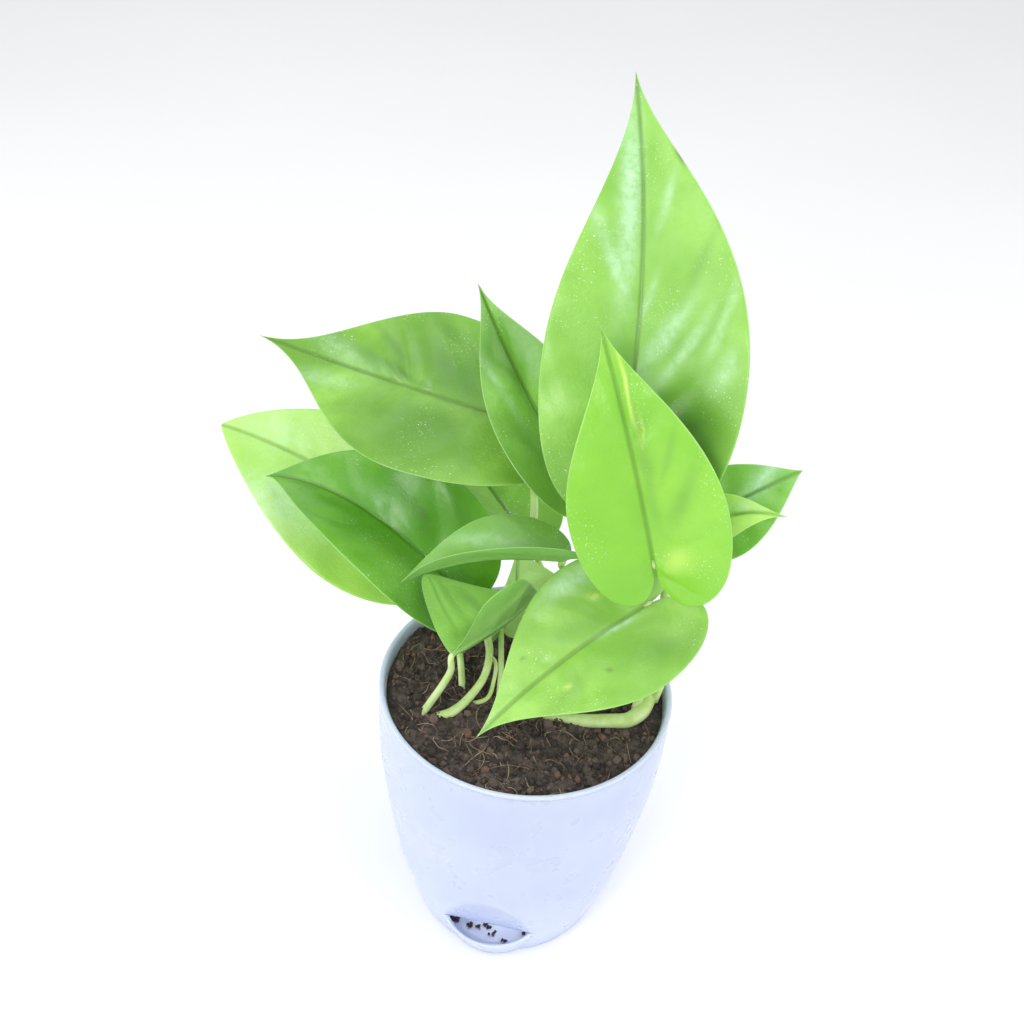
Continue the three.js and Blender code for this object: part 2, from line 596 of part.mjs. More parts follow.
// The midrib at a share of its length: its place, its direction, and the ways across and above it
function ribAt(spec, x) {
  const run = vec(spec.tip).sub(vec(spec.base));
  const along = run.clone().normalize();
  const face = vec(spec.face);
  const normal = face.addScaledVector(along, -face.dot(along)).normalize();
  const across = new THREE.Vector3().crossVectors(along, normal);
  const bow = x < 0 ? 4 * x : 4 * x * (1 - x);
  const bowSlope = x < 0 ? 4 : 4 * (1 - 2 * x);
  const lean = normal.multiplyScalar(spec.arch).addScaledVector(across, spec.sweep);
  const centre = vec(spec.base).addScaledVector(run, x).addScaledVector(lean, bow);
  const tangent = run.clone().addScaledVector(lean, bowSlope).normalize();
  const flat = across.addScaledVector(tangent, -tangent.dot(across)).normalize();
  const raised = new THREE.Vector3().crossVectors(flat, tangent);
  const turn = THREE.MathUtils.degToRad(spec.twist) * x;
  const sideways = flat.clone().multiplyScalar(Math.cos(turn)).addScaledVector(raised, Math.sin(turn));
  const upward = raised.multiplyScalar(Math.cos(turn)).addScaledVector(flat, -Math.sin(turn));
  return { centre, tangent, sideways, upward };
}

// One point of the blade's middle surface: side is -1 or 1, v runs from the midrib (0) to the margin (1)
function bladePoint(spec, edge, u, side, v) {
  const half = side < 0 ? 0 : 1;
  const rib = Math.max((u - RIB_START) / (1 - RIB_START), 0) ** RIB_POWER;
  const lag = ROW_LAG * Math.sin(Math.PI * v) * Math.sin(Math.PI * rib);
  const { centre, sideways, upward } = ribAt(spec, (1 - v) * rib + v * edge.x - lag);
  const share = v * edge.y;
  const reach = share * spec.width[half];
  const angle = THREE.MathUtils.degToRad(spec.fold[half] + 0.5 * spec.curl[half] * share);
  const [height, cycles, phase] = spec.wave;
  const ripple = height * share * share * Math.sin(2 * Math.PI * cycles * u + phase + side);
  return centre
    .addScaledVector(sideways, side * reach * Math.cos(angle))
    .addScaledVector(upward, reach * Math.sin(angle) + ripple);
}

// The blade's middle surface as points and faces, and the numbers of the midrib point where the
// petiole joins and of the one to the left behind it
function bladeSurface(spec) {
  const edge = margin(spec);
  const columns = 2 * BLADE_COLUMNS + 1;
  const points = [];
  const pointIds = new Map();
  const grid = edge.map((end, row) => {
    const line = [];
    for (let c = 0; c < columns; c++) {
      const v = Math.abs(c - BLADE_COLUMNS) / BLADE_COLUMNS;
      const point = bladePoint(spec, end, row / BLADE_ROWS, c < BLADE_COLUMNS ? -1 : 1, v);
      const key = point.toArray().map((n) => n.toFixed(3)).join();
      if (!pointIds.has(key)) {
        pointIds.set(key, points.length);
        points.push(point);
      }
      line.push(pointIds.get(key));
    }
    return line;
  });
  const faces = [];
  for (let row = 0; row + 1 < grid.length; row++) {
    for (let c = 0; c + 1 < columns; c++) {
      const [a, b] = [grid[row][c], grid[row][c + 1]];
      const [d, e] = [grid[row + 1][c], grid[row + 1][c + 1]];
      const pair = c < BLADE_COLUMNS ? [[a, b, e], [a, e, d]] : [[a, b, d], [b, e, d]];
      pair.filter((f) => new Set(f).size === 3).forEach((f) => faces.push(f));
    }
  }
  const joint = grid[JOINT_ROW][BLADE_COLUMNS];
  const leftBehind = grid[JOINT_ROW - 1][BLADE_COLUMNS - 1];
  return { points, faces, joint, leftBehind };
}

// Averaged normals of the points, and the open edges of the faces
function skinOf(points, faces) {
  const normals = points.map(() => new THREE.Vector3());
  const edges = new Map();
  for (const face of faces) {
    const [a, b, c] = face.map((i) => points[i]);
    const normal = new THREE.Vector3().crossVectors(b.clone().sub(a), c.clone().sub(a)).normalize();
    face.forEach((i) => normals[i].add(normal));
    edgesOf(face).forEach(([from, to]) => edges.set(`${from},${to}`, [from, to]));
  }
  normals.forEach((normal) => normal.normalize());
  return { normals, rim: [...edges.values()].filter(([from, to]) => !edges.has(`${to},${from}`)) };
}

// A leaf as one closed skin: the blade's middle surface moved both ways along its normals, a strip
// round its margin, and the petiole's tube, which opens into one side through a six-sided hole.
function leafSolid(spec) {
  const { points, faces, joint, leftBehind } = bladeSurface(spec);
  const { normals, rim } = skinOf(points, faces);
  const moved = (distance) => points.map((p, i) => p.clone().addScaledVector(normals[i], distance));
  const vertices = [...moved(BLADE_THICKNESS / 2), ...moved(-BLADE_THICKNESS / 2)];
  const low = points.length;
  const index = [];
  const above = comesFromAbove(spec);
  for (const [a, b, c] of faces) {
    const open = [a, b, c].includes(joint);
    if (!open || !above) index.push(a, b, c);
    if (!open || above) index.push(a + low, c + low, b + low);
  }
  rim.forEach(([a, b]) => index.push(b, a, a + low, b, a + low, b + low));
  const belts = petioleRings(spec).map((ring) => added(vertices, ring));
  const link = linkOf(joint, leftBehind, faces);
  const round = above ? link.toReversed() : link.map((i) => i + low);
  const heart = vertices[above ? joint : joint + low];
  const hole = added(vertices, round.map((i) => {
    const away = vertices[i].clone().sub(heart);
    return away.multiplyScalar(Math.min(JOINT_RADIUS / away.length(), JOINT_SHARE)).add(heart);
  }));
  belts.push(hole, round);
  for (let k = 0; k + 1 < belts.length; k++) index.push(...joined(belts[k], belts[k + 1]));
  const [foot] = added(vertices, [middle(belts[0].map((i) => vertices[i]))]);
  index.push(...capped(belts[0], foot));
  return toManifold(meshOf(vertices, index));
}

// Puts more points in the list and gives their numbers
function added(vertices, points) {
  return points.map((point) => vertices.push(point) - 1);
}

// The points round an inner point, in the order of its faces
function linkOf(centre, first, faces) {
  const next = new Map(faces.flatMap(edgesOf).filter(([, , apex]) => apex === centre));
  const link = [first];
  while (link.length < next.size) link.push(next.get(link.at(-1)));
  return link;
}

// Whether the petiole meets a strongly arched blade from its upper side
function comesFromAbove(spec) {
  return vec(spec.petiole.at(-1)).sub(vec(spec.base)).normalize().dot(ribAt(spec, 0).upward) > STEEP_ARRIVAL;
}

// The petiole comes to the midrib from behind
function petioleRings(spec, grow = 0) {
  const share = (JOINT_ROW / BLADE_ROWS - RIB_START) / (1 - RIB_START);
  const { centre, tangent, sideways, upward } = ribAt(spec, share ** RIB_POWER);
  const away = comesFromAbove(spec) ? 1 : -1;
  const joint = centre.addScaledVector(upward, away * BLADE_THICKNESS / 2);
  const neck = joint.clone().addScaledVector(tangent, -NECK_BACK).addScaledVector(upward, away * NECK_DROP);
  return tubeRings({
    points: [...spec.petiole, neck.toArray(), joint.toArray()],
    radii: [...spec.petioleRadii, NECK_RADIUS],
    sides: PETIOLE_SIDES,
    side: sideways,
    grow,
    skipped: TUBE_STEPS_PER_POINT,
  });
}

// Assembly

const plant = new THREE.Group();

function addPart(name, solid, colour, roughness) {
  const material = new THREE.MeshStandardMaterial({ color: colour, roughness, metalness: 0 });
  const mesh = new THREE.Mesh(toGeometry(solid), material);
  mesh.name = name;
  plant.add(mesh);
}

addPart('outer_pot', outerPotSolid(), COLOURS.pot, 0.45);
addPart('inner_pot', innerPotSolid(), COLOURS.pot, 0.45);
addPart('wick', wickSolid(), COLOURS.wick, 0.9);

const grownStems = Object.values(STEMS).map((stem) => stemSolid(stem, CUT_GAP));
let soil = soilSolid();
grownStems.forEach((stem) => { soil = soil.subtract(stem); });
Object.values(LEAVES)
  .filter((spec) => spec.petiole[0][2] < SOIL_TOP_Z)
  .forEach((spec) => { soil = soil.subtract(lofted(petioleRings(spec, CUT_GAP))); });
addPart('soil', soil, COLOURS.soil, 0.95);

for (const [name, stem] of Object.entries(STEMS)) addPart(name, stemSolid(stem), COLOURS.stem, 0.5);

for (const [name, spec] of Object.entries(LEAVES)) {
  let leaf = leafSolid(spec);
  grownStems.forEach((stem) => { leaf = leaf.subtract(stem); });
  addPart(name, leaf, COLOURS.leaf, 0.35);
}

export default plant;
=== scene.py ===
# Golden pothos in a white self-watering pot, on a pale floor in soft studio light.
# Sizes are in millimetres until a mesh is made. The filling spout faces -Y.
import math

import bpy
import numpy as np
from mathutils import Matrix, Vector


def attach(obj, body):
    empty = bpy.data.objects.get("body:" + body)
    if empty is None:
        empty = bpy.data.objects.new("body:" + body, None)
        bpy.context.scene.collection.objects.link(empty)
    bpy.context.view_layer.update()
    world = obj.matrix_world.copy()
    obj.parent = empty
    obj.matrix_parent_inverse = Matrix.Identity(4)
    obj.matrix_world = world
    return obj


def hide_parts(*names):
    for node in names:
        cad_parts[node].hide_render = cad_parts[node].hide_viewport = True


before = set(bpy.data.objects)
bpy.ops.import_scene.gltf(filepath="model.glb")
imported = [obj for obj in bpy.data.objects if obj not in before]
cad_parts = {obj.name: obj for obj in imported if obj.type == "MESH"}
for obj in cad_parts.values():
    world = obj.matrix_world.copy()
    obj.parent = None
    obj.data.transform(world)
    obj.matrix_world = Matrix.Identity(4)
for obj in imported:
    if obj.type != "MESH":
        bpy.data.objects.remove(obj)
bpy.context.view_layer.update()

MM = 0.001

# Camera
CAMERA_PLACE = (45.3, -358.8, 484.0)
CAMERA_FORWARD = (-0.1215, 0.7738, -0.6217)
CAMERA_UP = (-0.1826, 0.5982, 0.7803)
CAMERA_LENS = 48
CAMERA_SENSOR = 36

# Pot
POT_HEIGHT = 116
POT_SHARES = [0, 0.1, 0.25, 0.5, 0.75, 1]
POT_RADII = [37, 40.7, 45.6, 50.7, 54.3, 55]
POT_TOP_Z = 114.5
POT_WALL = 1.4
POT_FLOOR = 2.2
BASE_ROUND = 1.2
BASE_RECESS = 0.5
EDGE_ROUND = 0.45
FOOT_TILTS = (90, 68, 45, 22)
BASE_SHARES = (0.25, 0.6, 0.90)
FOOT_SHARE = 0.93
FLOOR_SHARES = (0.85, 0.6, 0.3)

# Filling spout
SPOUT_Z = 18.6
SPOUT_HALF_WIDTH = 17.8
SPOUT_BULGE = 10.5
FACET_TOP_Z = 43.5
FACET_TOP_Y = 48.4
FACET_BLEND = 0.3
SCOOP_BASE_SHARE = 0.37
SCOOP_BASE_WIDTH = 0.80
SCOOP_POWER = 1.25
MOUTH_ROUND = 0.25
MOUTH_EASING = math.radians(4)
SPOUT_FLANK = math.radians(42)

# Liner
FLANGE_Z = 114.56
FLANGE_WIDTH = 1.7
LINER_WALL = 1.1
LINER_GAP = 0.3
LINER_FLOOR_Z = 30
LINER_INSIDE_Z = 31.5
LINER_FLOOR_RADIUS = 35.5
LINER_SIDES = 192
FLARE_Z = 111.5

# Soil. Crumbs are (how many, least size, greatest size), and what was spilt in the reservoir is
# (x, y, spread, how many).
SOIL_TOP_Z = 110.5
SOIL_BOTTOM_Z = 31.9
SOIL_LEVELS = (SOIL_BOTTOM_Z, 50, 70, 90, 106)
SOIL_GAP = 0.05
SOIL_RINGS = 96
SOIL_SIDES = 300
FINE_CRUMBS = (2600, 0.3, 0.9)
COARSE_CRUMBS = (520, 0.8, 1.9)
CRUMB_MARGIN = 1.2
FIBRES = 210
FIBRE_MARGIN = 2.5
SPILT = [(-8.5, -30.5, 0.7, 5), (-5.2, -30.5, 0.7, 6), (-1.8, -28.5, 0.9, 9), (1.2, -31.5, 0.9, 7),
         (6.6, -35.0, 0.6, 4), (13.2, -29.0, 0.5, 3), (-14.8, -29.0, 1.3, 18)]
SPILT_LIMIT_Y = -34

# Growth
BLADE_ROWS = 128
BLADE_COLUMNS = 22
BLADE_HALF_THICKNESS = 0.24
MARGIN_HALF_THICKNESS = 0.11
ROW_LAG = 0.05
RIB_START = 0.10
RIB_POWER = 1.15
SWELL = 1.3
GROOVE_DEPTH = 0.42
GROOVE_WIDTH = 0.6
CRINKLE = 0.45
RIDGE_HEIGHT = 0.75
RIDGE_WIDTH = 0.85
TUBE_STEPS = 8
TUBE_SIDES = 14
STEM_SIDES = 18
STEM_FLUTES = 0.05
PETIOLE_FLUTES = 0.06
PETIOLE_END = 0.75
JOINT_DROP = 0.9
JOINT_REACH = 2.6

# Stems: points along the middle, and the radii along them
STEMS = {
    "stem_right": [dict(
        points=[(6, -9, 107.5), (15, -9, 111), (24, -9.2, 112.3), (33, -7, 112.5), (40, -5, 113),
                (44, 0, 113.6), (45.5, 8, 113.6), (45, 14, 112), (44, 18, 108)],
        radii=[1.4, 1.7, 2.5, 2.7, 2.9, 3.1, 2.9, 2.5, 1.8])],
    "stem_left": [dict(
        points=[(-32, -22, 106), (-29, -21, 110.5), (-24, -18, 112), (-20, -13, 114),
                (-15.5, -4, 119), (-15.4, 3.5, 124.5), (-17.6, 8.5, 127.6)],
        radii=[1.9, 1.9, 1.9, 1.7, 1.5, 1.5, 1.5]), dict(
        points=[(-15.6, 3.2, 124), (-12.8, 4, 119), (-12.2, -1, 114.5), (-13, -8, 112.2),
                (-19, -11.5, 110.6), (-23, -12, 107)],
        radii=[0.9, 0.8, 0.8, 0.9, 1.0, 0.8])],
    "stem_back": [dict(
        points=[(18, 30, 100), (18, 29, 115), (18, 27.5, 135), (18, 26, 151)],
        radii=[3.0, 3.0, 2.7, 2.3])],
}

# Each leaf's midrib runs from base to tip, and face is the way its upper side looks. Pairs are for
# the left and the right half, seen from base to tip. petiole lists the points before the base. puff
# is the swelling between the side veins, veins their number, and deep and light are the two greens.
# The marks are (midrib share, signed width share, half length mm, half width mm, turn in
# degrees, strength): streaks are yellow, spots brown, the sheen marks are a painted highlight on
# glossy raised parts, and the shade marks are painted shade in hollows, folds and sides turned from
# the light, with painted shadows that other leaves cast.
MARKS = ("streak", "spot", "bloom", "shade")
LEAVES = {
    "leaf_tall_back": dict(
        base=(21, 16.5, 196), tip=(3, 94, 317), face=(-0.10, -0.87, 0.48),
        width=(32, 45), fold=(14, 24), curl=(-1, 8), arch=5, sweep=7, twist=-2,
        lobe=0.05, widest=0.30, taper=0.21, tip_width=0.10, wave=(0.7, 2.5, 0.4),
        petiole=[(19, 26, 147), (19.5, 27, 156), (21, 28, 172)], radii=[1.8, 1.5, 1.4],
        puff=(0.6, 1.1), veins=6, deep=(0.22, 0.49, 0.06), light=(0.30, 0.60, 0.10),
        spot=[(0.785, 0.325, 5.5, 1.5, -32, 0.85)],
        bloom=[(0.70, -0.14, 44, 5.0, 4, 0.85), (0.54, -0.27, 17, 3.2, -23, 0.7),
               (0.64, -0.45, 12, 4, -20, 0.4), (0.69, 0.20, 12, 2.6, 22, 0.5),
               (0.47, 0.06, 12, 2.0, 22, 0.45), (0.39, 0.24, 20, 4.4, 39, 0.6),
               (0.37, 0.43, 20, 3.0, 36, 0.5), (0.43, 0.73, 16, 3.0, 22, 0.45),
               (0.34, 0.80, 8, 5, 20, 0.55)],
        shade=[(0.16, 0.58, 30, 20, 0, 0.95), (0.55, 0.50, 20, 3.0, 30, 0.3),
               (0.40, 0.58, 18, 2.4, 34, 0.35)]),
    "leaf_front": dict(
        base=(39.5, -0.5, 184), tip=(8, 29, 256.5), face=(-0.15, -0.82, 0.55),
        width=(26, 32), fold=(12, 24), curl=(1, 0), arch=4.7, sweep=2, twist=-3,
        lobe=0.15, widest=0.24, taper=0.22, tip_width=0.09, wave=(0.5, 2, 1.2),
        petiole=[(45.5, 10, 112), (47, 20, 130), (44.5, 28, 148), (43.3, 29.5, 158),
                 (42.5, 27.5, 168), (42, 20, 176), (41, 9, 181)], radii=[1.8, 1.5, 1.3, 1.3],
        puff=(0.3, 1.2), veins=5, deep=(0.22, 0.54, 0.04), light=(0.27, 0.60, 0.05),
        streak=[(0.74, 0.12, 17, 1.2, 0, 0.9), (0.57, 0.18, 7, 0.8, 8, 0.5), (0.05, 0.31, 8, 6, 60, 0.45)],
        shade=[(0.45, 0.14, 30, 4.0, 0, 0.40), (0.30, 0.50, 18, 4.0, 35, 0.40),
               (0.45, 0.40, 16, 2.0, 30, 0.3)]),
    "leaf_low_front": dict(
        base=(40, 7.5, 160.5), tip=(-10, -43, 129), face=(-0.15, -0.50, 0.85),
        width=(31, 27), fold=(12, 12), curl=(-1, 1), arch=4.6, sweep=1, twist=0,
        lobe=0.17, widest=0.25, taper=0.25, tip_width=0.09, wave=(0.6, 2, 2.0),
        petiole=[(42, 1, 113), (43, 8, 128), (42, 13, 146)], radii=[1.9, 1.5, 1.3],
        puff=(0.6, 0.7), veins=5, deep=(0.22, 0.48, 0.06), light=(0.37, 0.67, 0.13),
        streak=[(0.55, -0.30, 2.2, 1.2, 0, 0.7), (0.20, 0.45, 3, 1.2, 30, 0.7)],
        spot=[(0.36, -0.45, 1.4, 0.9, 0, 0.6), (0.62, 0.35, 1.2, 0.8, 0, 0.6)],
        bloom=[(0.27, 0.80, 13, 5, 0, 0.75), (0.20, -0.04, 12, 1.6, 8, 0.7)],
        shade=[(0.10, -0.62, 18, 11, 20, 0.55), (0.30, 0.20, 16, 5, 10, 0.25),
               (0.55, -0.35, 18, 4, -14, 0.25)]),
    "leaf_folded_left": dict(
        base=(7, 7, 173.5), tip=(-49, -3, 156.5), face=(0, -0.22, 0.98),
        width=(20.5, 16.5), fold=(62, 13), curl=(1, -1), arch=10.8, sweep=-3, twist=2,
        lobe=0.06, widest=0.28, taper=0.16, tip_width=0.11, wave=(0.5, 2, 0),
        petiole=[(16, 24, 145), (12, 21, 153), (6.4, 14, 164)], radii=[1.5, 1.2, 1.1],
        puff=(0.4, 0.4), veins=5, deep=(0.15, 0.34, 0.05), light=(0.17, 0.42, 0.05),
        spot=[(0.35, -0.3, 2.2, 1.0, 0, 0.7)],
        bloom=[(0.45, 0.45, 18, 4, 10, 0.3)],
        shade=[(0.55, 0.12, 30, 2.5, 0, 0.4)]),
    "leaf_upright": dict(
        base=(8, 29, 189.5), tip=(-44, 81, 234.5), face=(-0.12, -0.78, 0.62),
        width=(20, 23), fold=(40, 32), curl=(1, -1), arch=3.2, sweep=-1.3, twist=1.5,
        lobe=0.11, widest=0.28, taper=0.20, tip_width=0.10, wave=(0.4, 2, 0.6),
        petiole=[(17, 29, 145), (15, 30.5, 158), (12, 31, 172)], radii=[1.5, 1.3, 1.2],
        puff=(0.5, 0.5), veins=5, deep=(0.13, 0.34, 0.03), light=(0.24, 0.54, 0.07),
        bloom=[(0.54, -0.50, 30, 2.4, -8, 0.25), (0.5, 0.45, 30, 6, 0, 0.15)],
        shade=[(0.50, -0.10, 36, 3.4, 0, 0.7), (0.25, -0.45, 14, 5, 0, 0.4)]),
    "leaf_upper_left": dict(
        base=(-24.5, 52, 197.5), tip=(-126, 69.5, 203), face=(0.11, -0.44, 0.89),
        width=(39, 33.5), fold=(13, 8), curl=(1, 1), arch=2.4, sweep=-2.3, twist=3,
        lobe=0.22, widest=0.28, taper=0.30, tip_width=0.08, wave=(0.8, 2, 2.5),
        petiole=[(-9, 38, 102), (-9, 38, 125), (-9, 38, 150), (-9, 38, 172), (-14, 44, 188)],
        radii=[2.0, 1.7, 1.5, 1.4],
        puff=(0.6, 1.9), veins=5, deep=(0.15, 0.36, 0.03), light=(0.28, 0.57, 0.08),
        bloom=[(0.66, 0.15, 26, 6, 14, 0.3), (0.70, -0.25, 24, 5, -10, 0.3)],
        shade=[(0.22, 0.32, 36, 16, 24, 0.95), (0.46, 0.15, 36, 3.2, 10, 0.75),
               (0.30, 0.74, 20, 6, 30, 0.75), (0.26, -0.40, 32, 18, -20, 0.6),
               (0.50, 0.44, 16, 3.0, 30, 0.6)]),
    "leaf_lower_left": dict(
        base=(-29.5, 23, 130), tip=(-120, 52.5, 148.5), face=(0.21, -0.41, 0.89),
        width=(33, 30), fold=(29, 25.5), curl=(6, 0), arch=23.5, sweep=0, twist=2,
        lobe=0.03, widest=0.24, taper=0.17, tip_width=0.11, wave=(0.6, 2, 0.8),
        petiole=[(-19.4, 9.2, 128), (-25, 16.5, 129.8)], radii=[1.5, 1.4],
        puff=(0.5, 1.2), veins=5, deep=(0.11, 0.36, 0.02), light=(0.17, 0.46, 0.03),
        spot=[(0.3, 0.4, 2.6, 1.1, 20, 0.6)],
        bloom=[(0.45, 0.22, 14, 5, 10, 0.12)],
        shade=[(0.22, -0.25, 24, 9, -10, 0.4), (0.36, 0.42, 20, 3, 22, 0.5),
               (0.20, 0.70, 16, 8, 20, 0.4)]),
    "leaf_far_left": dict(
        base=(-51.5, 55.5, 128.5), tip=(-149.5, 80, 149), face=(0.12, -0.58, 0.80),
        width=(39.5, 30), fold=(10, 19.5), curl=(-1, 0), arch=10, sweep=2.3, twist=1,
        lobe=0.12, widest=0.24, taper=0.03, tip_width=0.13, wave=(0.7, 2, 1.5),
        petiole=[(-22, -9, 104), (-24, -3, 114), (-28, 8, 119.5), (-35, 26, 121), (-43, 43, 123)],
        radii=[1.3, 1.3, 1.3, 1.3],
        puff=(0.5, 0.5), veins=5, deep=(0.38, 0.68, 0.11), light=(0.44, 0.70, 0.17),
        bloom=[(0.74, 0.15, 34, 18, 0, 0.3), (0.50, -0.45, 46, 18, -15, 0.6)]),
    "leaf_small_folded": dict(
        base=(-25, -20.5, 144), tip=(0.5, 15, 150.5), face=(-0.29, 0, 0.96),
        width=(36, 25), fold=(18, 63), curl=(1, 3), arch=0.5, sweep=3.5, twist=4,
        lobe=(0.02, -0.13), widest=(0.24, 0.44), taper=0.21, tip_width=0.10, wave=(0.4, 1.5, 0),
        petiole=[(-37, -22, 106), (-33, -19.5, 114), (-27.5, -19, 127), (-25, -19.5, 135)],
        radii=[1.5, 1.4, 1.3],
        puff=(0.4, 0.4), veins=5, deep=(0.26, 0.56, 0.09), light=(0.34, 0.67, 0.12),
        shade=[(0.45, -0.12, 30, 6, 0, 0.75)]),
    "leaf_hidden_back": dict(
        base=(-12.5, 51.5, 142.5), tip=(-56.5, 83.5, 166), face=(0.29, -0.56, 0.78),
        width=(17.5, 23.5), fold=(35, 12), curl=(0, 0), arch=3.7, sweep=-1, twist=0,
        lobe=0.10, widest=0.26, taper=0.20, tip_width=0.10, wave=(0.4, 2, 0.3),
        petiole=[(-2, 47.5, 102), (-2, 48, 116), (-4, 49.5, 128)], radii=[1.5, 1.3, 1.2],
        puff=(0.3, 0.3), veins=4, deep=(0.17, 0.37, 0.05), light=(0.26, 0.54, 0.08)),
    "leaf_right_back": dict(
        base=(52, 49, 168), tip=(86, 61.5, 191), face=(0.05, -0.65, 0.76),
        width=(16, 20), fold=(23, 18), curl=(1, -1), arch=4.4, sweep=0, twist=0,
        lobe=0.12, widest=0.25, taper=0.14, tip_width=0.12, wave=(0.4, 2, 0.9),
        petiole=[(45, 15, 112), (48, 25, 132), (50.5, 36, 150), (52, 44, 162)],
        radii=[1.6, 1.3, 1.2],
        puff=(0.4, 0.4), veins=4, deep=(0.22, 0.52, 0.07), light=(0.40, 0.74, 0.22),
        bloom=[(0.66, -0.20, 16, 5, -25, 0.75)]),
    "leaf_right_small": dict(
        base=(55.5, 33, 169.5), tip=(81.5, 31, 191.5), face=(-0.02, -0.46, 0.89),
        width=(11, 14.5), fold=(24, 23), curl=(0, 0), arch=11, sweep=-2.4, twist=0,
        lobe=0.12, widest=0.26, taper=0.19, tip_width=0.10, wave=(0.3, 2, 0),
        petiole=[(48, 6.5, 113.5), (52.3, 16, 135), (55, 26, 155)], radii=[1.5, 1.3, 1.1],
        puff=(0.3, 0.3), veins=4, deep=(0.40, 0.74, 0.10), light=(0.50, 0.86, 0.15),
        bloom=[(0.66, -0.20, 12, 4, 0, 0.4)]),
    "leaf_centre_back": dict(
        base=(-14.5, 24.5, 118.5), tip=(-12.5, 27.5, 157.5), face=(0.64, -0.66, 0.39),
        width=(15.5, 26), fold=(28, 20), curl=(-1, -1), arch=1.1, sweep=1.6, twist=-2,
        lobe=0.12, widest=0.27, taper=0.20, tip_width=0.10, wave=(0.4, 2, 1.4),
        petiole=[(-8, -11, 105), (-10.3, 3, 115), (-12.6, 13, 118.4)], radii=[1.3, 1.1, 1.0],
        puff=(0.3, 0.3), veins=4, deep=(0.48, 0.84, 0.22), light=(0.58, 0.92, 0.30)),
}

# Colours that the leaves share
DULL = (0.20, 0.44, 0.10)
# Painted shade and painted shadow on the leaves
PAINTED_SHADE = (0.10, 0.26, 0.035)
YELLOW = (0.62, 0.80, 0.16)
BROWN = (0.10, 0.13, 0.04)
# Painted highlight: the pale sheen of glossy leaves
PAINTED_SHEEN = (0.60, 0.86, 0.62)
MARGIN_GREEN = (0.50, 0.78, 0.34)
DUST = (0.80, 0.93, 0.70)

# Lamps: place and target in mm, size in metres and power in watts
PLANT_MIDDLE = (0, 20, 170)
LAMPS = {
    "key": dict(place=(-224, -704, 677), size=0.36, power=3.0, colour=(1.0, 0.99, 0.97)),
    "left": dict(place=(-820, -180, 420), size=0.6, power=2.0),
    "right": dict(place=(820, -120, 420), size=0.6, power=2.0),
    "top": dict(place=(200, 100, 1100), size=0.9, power=3.3, colour=(0.97, 0.98, 1.0)),
    "reservoir": dict(place=(0, -14, 24), size=0.02, power=0.006, colour=(0.95, 0.97, 1.0),
                      target=(0, -30, 2)),
}
STUDIO_COLOUR = (0.96, 0.98, 1.0, 1)
STUDIO_STRENGTH = 0.78
FLOOR_REACH = 4.0
FLOOR_LEVEL = -0.0004


# Vectors and meshes

def unit(vectors):
    vectors = np.asarray(vectors, float)
    length = np.linalg.norm(vectors, axis=-1, keepdims=True)
    return vectors / np.maximum(length, 1e-9)


def dot(a, b):
    return (a * b).sum(axis=-1, keepdims=True)


def soft_bumps(x, y, seed, wavelength, count=9):
    """Smooth lumps of height about -1 to 1, from waves in random directions."""
    rng = np.random.default_rng(seed)
    total = np.zeros(np.broadcast(x, y).shape)
    for _ in range(count):
        angle, phase = rng.uniform(0, 2 * math.pi, 2)
        rate = 2 * math.pi / (wavelength * rng.uniform(0.7, 1.6))
        total += np.sin(rate * (x * math.cos(angle) + y * math.sin(angle)) + phase)
    return total / math.sqrt(count)


def new_object(name, data):
    made = bpy.data.objects.new(name, data)
    bpy.context.scene.collection.objects.link(made)
    return made


class Shape:
    """Points, faces and point values that are gathered before a mesh is made."""

    def __init__(self):
        self.points = []
        self.faces = []
        self.slots = []
        self.values = {}
        self.count = 0

    def add(self, points, faces, slot=0, **values):
        points = np.asarray(points, float).reshape(-1, 3)
        self.points.append(points)
        self.faces += [[corner + self.count for corner in face] for face in faces]
        self.slots += [slot] * len(faces)
        for name, value in values.items():
            spread = np.broadcast_to(np.asarray(value, float).ravel(), (len(points),))
            self.values.setdefault(name, []).append((self.count, spread))
        self.count += len(points)

    def piece(self, name, materials, finish, nodes=(), smooth=True):
        mesh = bpy.data.meshes.new(name)
        mesh.from_pydata((np.vstack(self.points) * MM).tolist(), [], self.faces)
        for material in materials:
            mesh.materials.append(material)
        mesh.polygons.foreach_set("material_index", self.slots)
        mesh.polygons.foreach_set("use_smooth", [smooth] * len(self.faces))
        for label, parts in self.values.items():
            data = np.zeros(self.count)
            for start, value in parts:
                data[start:start + len(value)] = value
            layer = mesh.attributes.new(label, "FLOAT", "POINT")
            layer.data.foreach_set("value", data)
        mesh.update()
        piece = new_object(name, mesh)
        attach(piece, "root")
        if nodes:
            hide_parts(*nodes)
        return piece


def strips(rows, columns, start=0, closed=False, flip=False):
    """Quads between neighbouring rows of a grid of points."""
    faces = []
    last = columns if closed else columns - 1
    for r in range(rows - 1):
        for c in range(last):
            a = start + r * columns + c
            b = start + r * columns + (c + 1) % columns
            quad = [a, b, b + columns, a + columns]
            faces.append(quad[::-1] if flip else quad)
    return faces


def fan(centre, ring, flip=False):
    faces = []
    for i, corner in enumerate(ring):
        triangle = [centre, corner, ring[(i + 1) % len(ring)]]
        faces.append(triangle[::-1] if flip else triangle)
    return faces


def circle(angles, radius, z):
    return np.stack([radius * np.cos(angles), radius * np.sin(angles),
                     np.broadcast_to(z, np.broadcast(angles, radius).shape)], -1)


